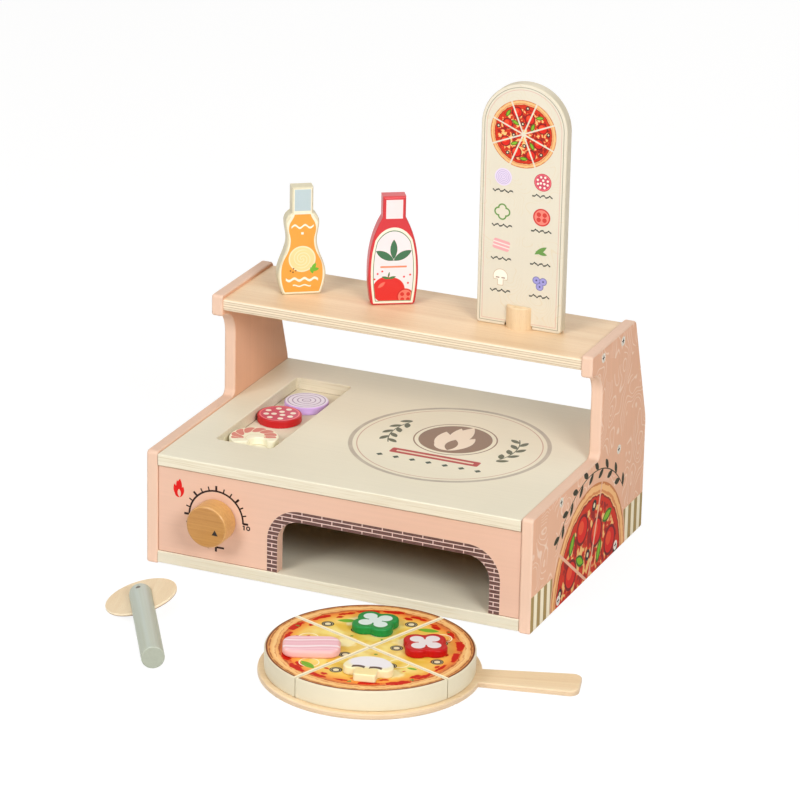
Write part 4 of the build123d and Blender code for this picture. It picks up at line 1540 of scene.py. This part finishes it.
@dataclass
class PizzaOnPeel(SubAssembly):
    """The plywood peel and the four printed slices; places are distances and bearings."""

    middle: Spot = (99.0, -289.5)
    first_cut: float = -20.3
    margin: float = 2.5
    peel_turn: float = 15.6
    cream: Enamel = Enamel("cream_pizza_paint", paint(229, 219, 192), streak=0.05, gloss=0.15)
    birch: Timber = Timber("clear_birch_peel", paint(244, 222, 185), paint(230, 199, 155),
                           figure=12.0)
    plies: Plies = Plies((0.0, 5.5), 3, paint(229, 202, 168), paint(194, 158, 112))
    blobs: tuple = ((34, 62), (57, 147), (62, 333), (24, 196))
    onions: tuple = ((69, 62), (44, 350), (66, 257), (60, 205), (32, 118))
    olives: tuple = ((68, 17), (24, 40), (66, 53), (64, 98), (66, 128), (40, 152), (64, 172),
                     (66, 231), (60, 283), (64, 318), (45, 338), (29, 262))
    herbs: tuple = ((19, 100), (56, 30), (80, 70), (30, 300), (81, 190), (57, 180), (78, 300),
                    (17, 330), (80, 342), (54, 268), (52, 130), (30, 170))
    basil: tuple = ((66, 80), (62, 154), (70, 260), (46, 62), (60, 353), (36, 215))
    # each basil leaf's turn and length
    basil_looks: tuple = ((30, 20), (40, 19), (350, 20), (120, 12), (200, 10), (40, 9))

    def build(self) -> None:
        """Prints the pizza, grains the peel and dresses them."""
        art = self.cream.on_top(self.middle, self.first_cut)
        self.crust(art)
        self.cheese(art)
        self.sauce(art)
        self.toppings(art)
        cuts = abs(art.across).least(abs(art.up)) - self.margin
        art.lay(cuts, paint(252, 238, 200), 0.3)
        self.dress_print(self.cream, art, Facing.TOP, 0.8, "pizza_slice_right",
                         "pizza_slice_back", "pizza_slice_left", "pizza_slice_front")
        recipe = Recipe(self.birch.name)
        recipe.turn_place(-self.peel_turn)
        wood = self.plies.ground(recipe, self.birch.ground(recipe))
        self.dress(self.birch.finish(recipe, wood), "pizza_peel")

    @staticmethod
    def sway(art: Print) -> Wire:
        """How far the rings bend in and out, in millimetres."""
        return (art.recipe.noise(18.0, detail=2.0, shift=3.0) - 0.5) * 8.0

    def crust(self, art: Print) -> None:
        """The baked disc: cheese inside, sauce round it and a browned rim.

        Args:
            art: The pizza's print.
        """
        reach = art.away()
        dough = art.recipe.ramp(
            (reach + self.sway(art) * 0.7) / 100, (0.26, paint(238, 204, 104)),
            (0.56, paint(244, 208, 100)), (0.7, paint(246, 194, 88)), (0.785, paint(240, 148, 62)),
            (0.82, paint(220, 116, 58)), (0.85, paint(244, 184, 112)),
            (0.885, paint(250, 208, 142)), (0.92, paint(240, 178, 106)), (0.96, paint(180, 98, 46)))
        art.lay(reach - 95.6, dough, 0.5)

    def cheese(self, art: Print) -> None:
        """Pale and deep patches of melted cheese, which fade towards the rim.

        Args:
            art: The pizza's print.
        """
        recipe, reach = art.recipe, art.away()
        melt = recipe.noise(24.0, detail=2.0, shift=14.0)
        mottle = recipe.noise(17.0, detail=1.0, shift=61.0)
        for patches, colour, soft, edge, fade, hold in (
                (0.53 - melt, paint(250, 236, 164), 9.0, 66.0, 16.0, 0.6),
                (melt - 0.46, paint(228, 194, 50), 9.0, 58.0, 20.0, 0.7),
                (0.46 - mottle, paint(232, 182, 60), 7.0, 66.0, 14.0, 0.5),
                (mottle - 0.42, paint(255, 240, 150), 7.0, 66.0, 14.0, 0.4)):
            art.lay(patches * 40, colour, soft, (reach - edge).inside(fade) * hold)

    def sauce(self, art: Print) -> None:
        """Uneven brown rings, three rings of sauce drops and the dark outer line.

        Args:
            art: The pizza's print.
        """
        reach, sway = art.away(), self.sway(art)
        blister = art.recipe.noise(6.0, detail=2.0, shift=8.0) - 0.5
        for out, half, bend, tone in ((83.6, 0.7, 0.8, paint(184, 80, 32)),
                                      (87.4, 0.35, 1.3, paint(222, 146, 84)),
                                      (92.6, 0.6, 0.35, paint(164, 92, 50))):
            art.lay(abs(reach - out + sway * bend) - half - blister * 3.2, tone, 0.5, 0.85)
        for pitch, out, half in ((18.0, 79.8, (9.2, 2.7)), (24.0, 73.0, (3.8, 2.1)),
                                 (36.0, 62.0, (2.4, 1.2))):
            drops = self.drops(art, pitch, out, half) + blister * 5.0
            art.stack(drops, (0.5, paint(228, 104, 36), 0.4, 0.8), (0.0, paint(200, 24, 4), 0.3))
        art.lay(art.ring(MIDDLE, 94.9, 1.6), paint(118, 62, 32), 0.4)

    @staticmethod
    def drops(art: Print, pitch: float, out: float, half: Spot) -> Wire:
        """A ring of uneven drops of sauce.

        Args:
            art: The pizza's print.
            pitch: Degrees from one drop to the next.
            out: How far they lie from the middle.
            half: About half a drop's length and half its width.

        Returns:
            The signed distance, roughly.
        """
        reach = art.away()
        lie = art.bearing() / pitch + 360.0 / pitch
        cell = lie.whole()
        luck = (cell * 12.99 + out).sine()
        chance = (cell * 7.82 + pitch).sine()
        along = (lie - cell - 0.5 - luck * 0.16) * reach * math.radians(pitch) / half[0]
        apart = (reach - out - chance * 2.4) / half[1]
        return ((along.squared() + apart.squared()).root() - (chance * 0.3 + 1.0)) * half[1]

    def toppings(self, art: Print) -> None:
        """Melted blobs, olives, onion rings, leaves and herbs round the loose pieces.

        Args:
            art: The pizza's print.
        """
        uneven = (art.recipe.noise(8.0, detail=1.0, shift=33.0) - 0.5) * 12
        blobs = art.nearest(around(MIDDLE, self.blobs)) + uneven
        art.lay(blobs - 9.5, paint(255, 243, 190), 4.0, 0.8)
        onions = art.nearest(around(MIDDLE, self.onions))
        for radius, half, colour in ((9.0, 0.55, paint(255, 244, 206)),
                                     (7.2, 0.3, paint(244, 214, 140))):
            art.lay(abs(onions - radius) - half, colour, 0.3)
        Motifs(art).olives(around(MIDDLE, self.olives), 1.08)
        for spot, (turn, size) in zip(around(MIDDLE, self.basil), self.basil_looks):
            art.lay(art.leaf(spot, size, size * 0.4, turn), paint(118, 178, 48), 0.4)
            art.lay(art.box(spot, (size * 0.4, 0.22), 0.15, turn), paint(86, 140, 52), 0.3)
        crumb = (art.recipe.noise(2.4, detail=1.0, shift=44.0) - 0.5) * 5
        herbs = art.nearest(around(MIDDLE, self.herbs)) + crumb
        art.lay(herbs - 1.5, paint(92, 142, 58), 0.4)


@dataclass
class PizzaFood(SubAssembly):
    """The food on the slices; each place is a distance and a bearing from the pizza's middle."""

    middle: Spot = (99.0, -289.5)
    ham_at: Spot = (54.8, 215.6)
    green_at: Spot = (42.7, 107.7)
    red_at: Spot = (50.4, 18.0)
    mushroom_at: Spot = (52.0, 293.4)
    rosy: Enamel = Enamel("rosy_ham_paint", paint(246, 188, 186), streak=0.04)
    cream: Enamel = Enamel("cream_mushroom_paint", paint(246, 236, 190), streak=0.04)

    def build(self) -> None:
        """Prints the four and dresses them."""
        self.ham()
        self.pepper("green_pepper", self.green_at, 5.0, paint(26, 138, 62), paint(218, 234, 228))
        self.pepper("red_pepper", self.red_at, 28.0, paint(192, 8, 14), paint(234, 226, 226))
        self.mushroom()

    def start(self, coat: Enamel, place: Spot, turn: float) -> Print:
        """A print on a piece at its place and turn, on a new material."""
        return coat.on_top(around(self.middle, (place,))[0], turn)

    def ham(self) -> None:
        """Rosy paint with wavy pale streaks along the slice."""
        art = self.start(self.rosy, self.ham_at, 23.0)
        sway = (art.across * 0.11).sine() * 1.2
        art.lay(art.box(MIDDLE, (24.0, 16.0), 9.0), paint(240, 188, 198), 2.0)
        for rise, half, colour in ((7.4, 1.2, paint(255, 232, 234)),
                                   (-6.4, 1.7, paint(255, 234, 236)),
                                   (-12.6, 0.8, paint(252, 212, 216)),
                                   (13.0, 0.8, paint(252, 214, 218)),
                                   (1.0, 0.6, paint(246, 200, 208))):
            art.lay(abs(art.up - rise - sway) - half, colour, 1.2)
        self.dress_print(self.rosy, art, Facing.TOP, 0.6, "ham")

    def pepper(self, name: str, at: Spot, turn: float, colour: tuple, pale: tuple) -> None:
        """A painted pepper ring with its pale heart.

        Args:
            name: The piece.
            at: Its place from the pizza's middle.
            turn: Degrees it is turned.
            colour: Its skin.
            pale: Its heart.
        """
        skin = Enamel(f"{name}_paint", colour, streak=0.05, roughness=0.36, gloss=0.25)
        art = self.start(skin, at, turn)
        Motifs(art).pepper(MIDDLE, 6.5, 10.3, pale)
        self.dress_print(skin, art, Facing.TOP, 0.85, name)

    def mushroom(self) -> None:
        """A pale cap that yellows to its edge, a warm stem and two brown gills."""
        art = self.start(self.cream, self.mushroom_at, 12.0)
        art.lay(art.box((1.0, 1.5), (20.0, 11.5), 10.0), paint(240, 237, 240), 4.5)
        art.lay(art.box((0.0, -22.0), (10.5, 9.5), 2.5), paint(246, 226, 162), 0.8)
        for side in (-8.4, 7.4):
            gill = art.ring((side, -20.0), 10.6, 4.0).most(6.4 - (art.up + 20.0))
            art.lay(gill.most(abs(art.across - side) - 5.8), paint(82, 56, 46), 0.4)
        self.dress_print(self.cream, art, Facing.TOP, 0.8, "mushroom")


@dataclass
class Cutter(SubAssembly):
    """The lying pizza cutter: a sage handle and a birch wheel."""

    hub: tuple = (-154.613, -250.362, 11.0)
    normal: tuple = (-0.233855, -0.141627, 0.961901)
    radius: float = 35.0
    rim: float = 0.5                # mm, the edge of the wheel, painted pale as a highlight
    turn: float = 121.2
    wheel_turn: float = 98.282      # degrees, the lie of the wheel's grain
    sage: Enamel = Enamel("sage_handle_paint", paint(184, 190, 172), Grain.ALONG_X, 2.0, 0.16,
                          0.05)
    cool: tuple = paint(204, 214, 212)
    end: tuple = paint(172, 177, 161)
    birch: Timber = Timber("clear_birch_wheel", paint(243, 223, 188), paint(233, 206, 166),
                           figure=10.0)
    pin: Enamel = Enamel("dark_steel_pin", paint(104, 94, 86), roughness=0.4)

    def build(self) -> None:
        """Finishes the handle, the wheel and the pin."""
        self.handle()
        self.wheel()
        self.dress(self.pin.plain(), "cutter_pin")

    def handle(self) -> None:
        """Sage paint with cool streaks along the handle, and a darker end."""
        recipe, sage = Recipe(self.sage.name), self.sage
        recipe.turn_place(-self.turn)
        streaks = recipe.noise(9.0, (0.015, 1.0, 1.0), 2.0, 5.0)
        colour = recipe.mix((streaks - 0.45) * 2.4, sage.ground(recipe, sage.colour),
                            sage.ground(recipe, self.cool, 7.0))
        (way,) = around(MIDDLE, ((-1.0, self.turn),))
        end = recipe.looks((*way, 0.0), 0.8)
        colour = recipe.mix(end, colour, sage.ground(recipe, self.end))
        self.dress(sage.finish(recipe, colour), "cutter_handle")

    def wheel(self) -> None:
        """Birch with a pale rim that is a painted highlight, and the lower edge of its bevel
        painted dark as shade.
        """
        recipe = Recipe(self.birch.name)
        place = recipe.place()
        rim = recipe.vector("DISTANCE", place, self.hub, number=True) > self.radius - self.rim
        arm = recipe.vector("SUBTRACT", place, self.hub)
        below = recipe.vector("DOT_PRODUCT", arm, self.normal, number=True) < -self.rim
        recipe.turn_place(-self.wheel_turn)
        # Painted highlight: the rim is coloured pale.
        wood = recipe.mix(rim, self.birch.ground(recipe), paint(250, 232, 200))
        # Painted shade: the rim below the wheel's middle is coloured dark.
        wood = recipe.mix(rim * below, wood, paint(158, 118, 84))
        self.dress(self.birch.finish(recipe, wood), "cutter_wheel")


# ------------------------------------------------------------------ studio


@dataclass
class Studio:
    """The pale floor, the soft lamps and the camera; places are in metres."""

    floor_radius: float = 6.0
    aim: tuple = (0.0, -0.1, 0.1)
    lamps: tuple = (            # name, place, side in metres and power in watts
        ("main_softbox", (-1.1, -2.7, 2.1), 1.4, 54.0),
        ("right_softbox", (2.3, -2.0, 1.8), 1.2, 67.0),
        ("top_softbox", (-0.1, -0.3, 2.4), 1.6, 13.0),
        ("back_softbox", (-0.2, 2.5, 2.0), 1.6, 11.0))
    camera_at: tuple = (1.52217, -3.57092, 1.63105)
    tilt: float = -0.3558           # radians, as the roll and the heading
    roll: float = 0.0196
    heading: float = -0.4073
    lens: float = 192.95
    shift: Spot = (0.02064, -0.04607)
    sensor: float = 36.0            # mm, the camera's frame
    room: tuple = (1.0, 0.87, 0.72, 1.0)
    room_strength: float = 0.12
    floor_grey: float = 0.86
    floor_glow: float = 1.12        # what the camera sees, where the floor glows
    floor_share: float = 0.8        # how much of the floor glows

    def build(self) -> None:
        """Sets up the studio."""
        scene = bpy.context.scene
        scene.view_settings.view_transform = "Standard"
        self.world(scene)
        self.floor()
        for lamp in self.lamps:
            self.lamp(*lamp)
        self.camera(scene)

    def world(self, scene: bpy.types.Scene) -> None:
        """A soft warm room that is plain white where the camera, a gloss or a glass sees it.

        Args:
            scene: The scene.
        """
        world = bpy.data.worlds.new("pale_room")
        world.use_nodes = True
        scene.world = world
        tree = Tree(world.node_tree)
        seen = tree.seen()
        back = world.node_tree.nodes["Background"]
        tree.feed(back.inputs["Color"], tree.mix(seen, self.room, WHITE))
        tree.feed(back.inputs["Strength"], seen * (1.0 - self.room_strength) + self.room_strength)

    def floor(self) -> None:
        """A wide round pale floor, flat, whose shadow stays and whose rest goes to white."""
        deselect()
        bpy.ops.mesh.primitive_circle_add(vertices=96, radius=self.floor_radius, fill_type="NGON")
        floor = bpy.context.object
        floor.name = "studio_floor"
        bpy.ops.object.mode_set(mode="EDIT")
        for share in (0.6, 0.2):
            bpy.ops.mesh.inset(thickness=self.floor_radius * share, depth=0.0)
        bpy.ops.object.mode_set(mode="OBJECT")
        recipe = Recipe("pale_floor")
        speck = recipe.noise(40.0, detail=3.0)
        colour = recipe.vector("SCALE", (self.floor_grey,) * 3, scale=(speck - 0.5) * 0.01 + 1.0)
        recipe.finish(colour, 0.8, gloss=0.2)
        glow = recipe.node("ShaderNodeEmission", {}, {0: WHITE, 1: self.floor_glow})
        lit = Wire(recipe, recipe.shader.outputs[0])
        share = recipe.seen() * self.floor_share
        blend = recipe.node("ShaderNodeMixShader", {}, {0: share, 1: lit, 2: glow})
        recipe.feed(recipe.tree.nodes["Material Output"].inputs["Surface"], blend)
        floor.data.materials.append(recipe.material)

    def lamp(self, name: str, at: tuple, size: float, power: float) -> None:
        """A square soft lamp that looks at the middle of the toy.

        Args:
            name: The lamp's name.
            at: Where it hangs.
            size: Its side.
            power: Its power, in watts.
        """
        light = bpy.data.lights.new(name, "AREA")
        light.size = size
        light.energy = power
        lamp = bpy.data.objects.new(name, light)
        bpy.context.scene.collection.objects.link(lamp)
        lamp.location = at
        lamp.rotation_euler = (Vector(self.aim) - Vector(at)).to_track_quat("-Z", "Y").to_euler()

    def camera(self, scene: bpy.types.Scene) -> None:
        """The camera, from its heading, tilt and roll.

        Args:
            scene: The scene.
        """
        data = bpy.data.cameras.new("view")
        data.lens = self.lens
        data.sensor_width = self.sensor
        data.shift_x, data.shift_y = self.shift
        data.clip_end = 100.0
        forward = Vector((math.sin(self.heading) * math.cos(self.tilt),
                          math.cos(self.heading) * math.cos(self.tilt), math.sin(self.tilt)))
        right = Vector((math.cos(self.heading), -math.sin(self.heading), 0.0))
        up = right.cross(forward)
        cos, sin = math.cos(self.roll), math.sin(self.roll)
        turn = Matrix((cos * right + sin * up, cos * up - sin * right, -forward)).transposed()
        camera = bpy.data.objects.new("view", data)
        camera.matrix_world = Matrix.Translation(self.camera_at) @ turn.to_4x4()
        scene.collection.objects.link(camera)
        scene.camera = camera


def deselect() -> None:
    """Leaves nothing selected."""
    bpy.ops.object.select_all(action="DESELECT")
    bpy.context.view_layer.objects.active = None


def main() -> None:
    """Loads the frame, finishes every piece and sets up the studio."""
    logging.basicConfig(level=logging.INFO, format="%(name)s: %(message)s")
    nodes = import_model()["nodes"]
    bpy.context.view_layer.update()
    for group in (FrontPanel, SidePanels, Hob, Woodwork, Knob, MenuSign, SauceBottles, TrayFood,
                  PizzaOnPeel, PizzaFood, Cutter):
        group(nodes).build()
    Studio().build()


if __name__ == "__main__":
    main()
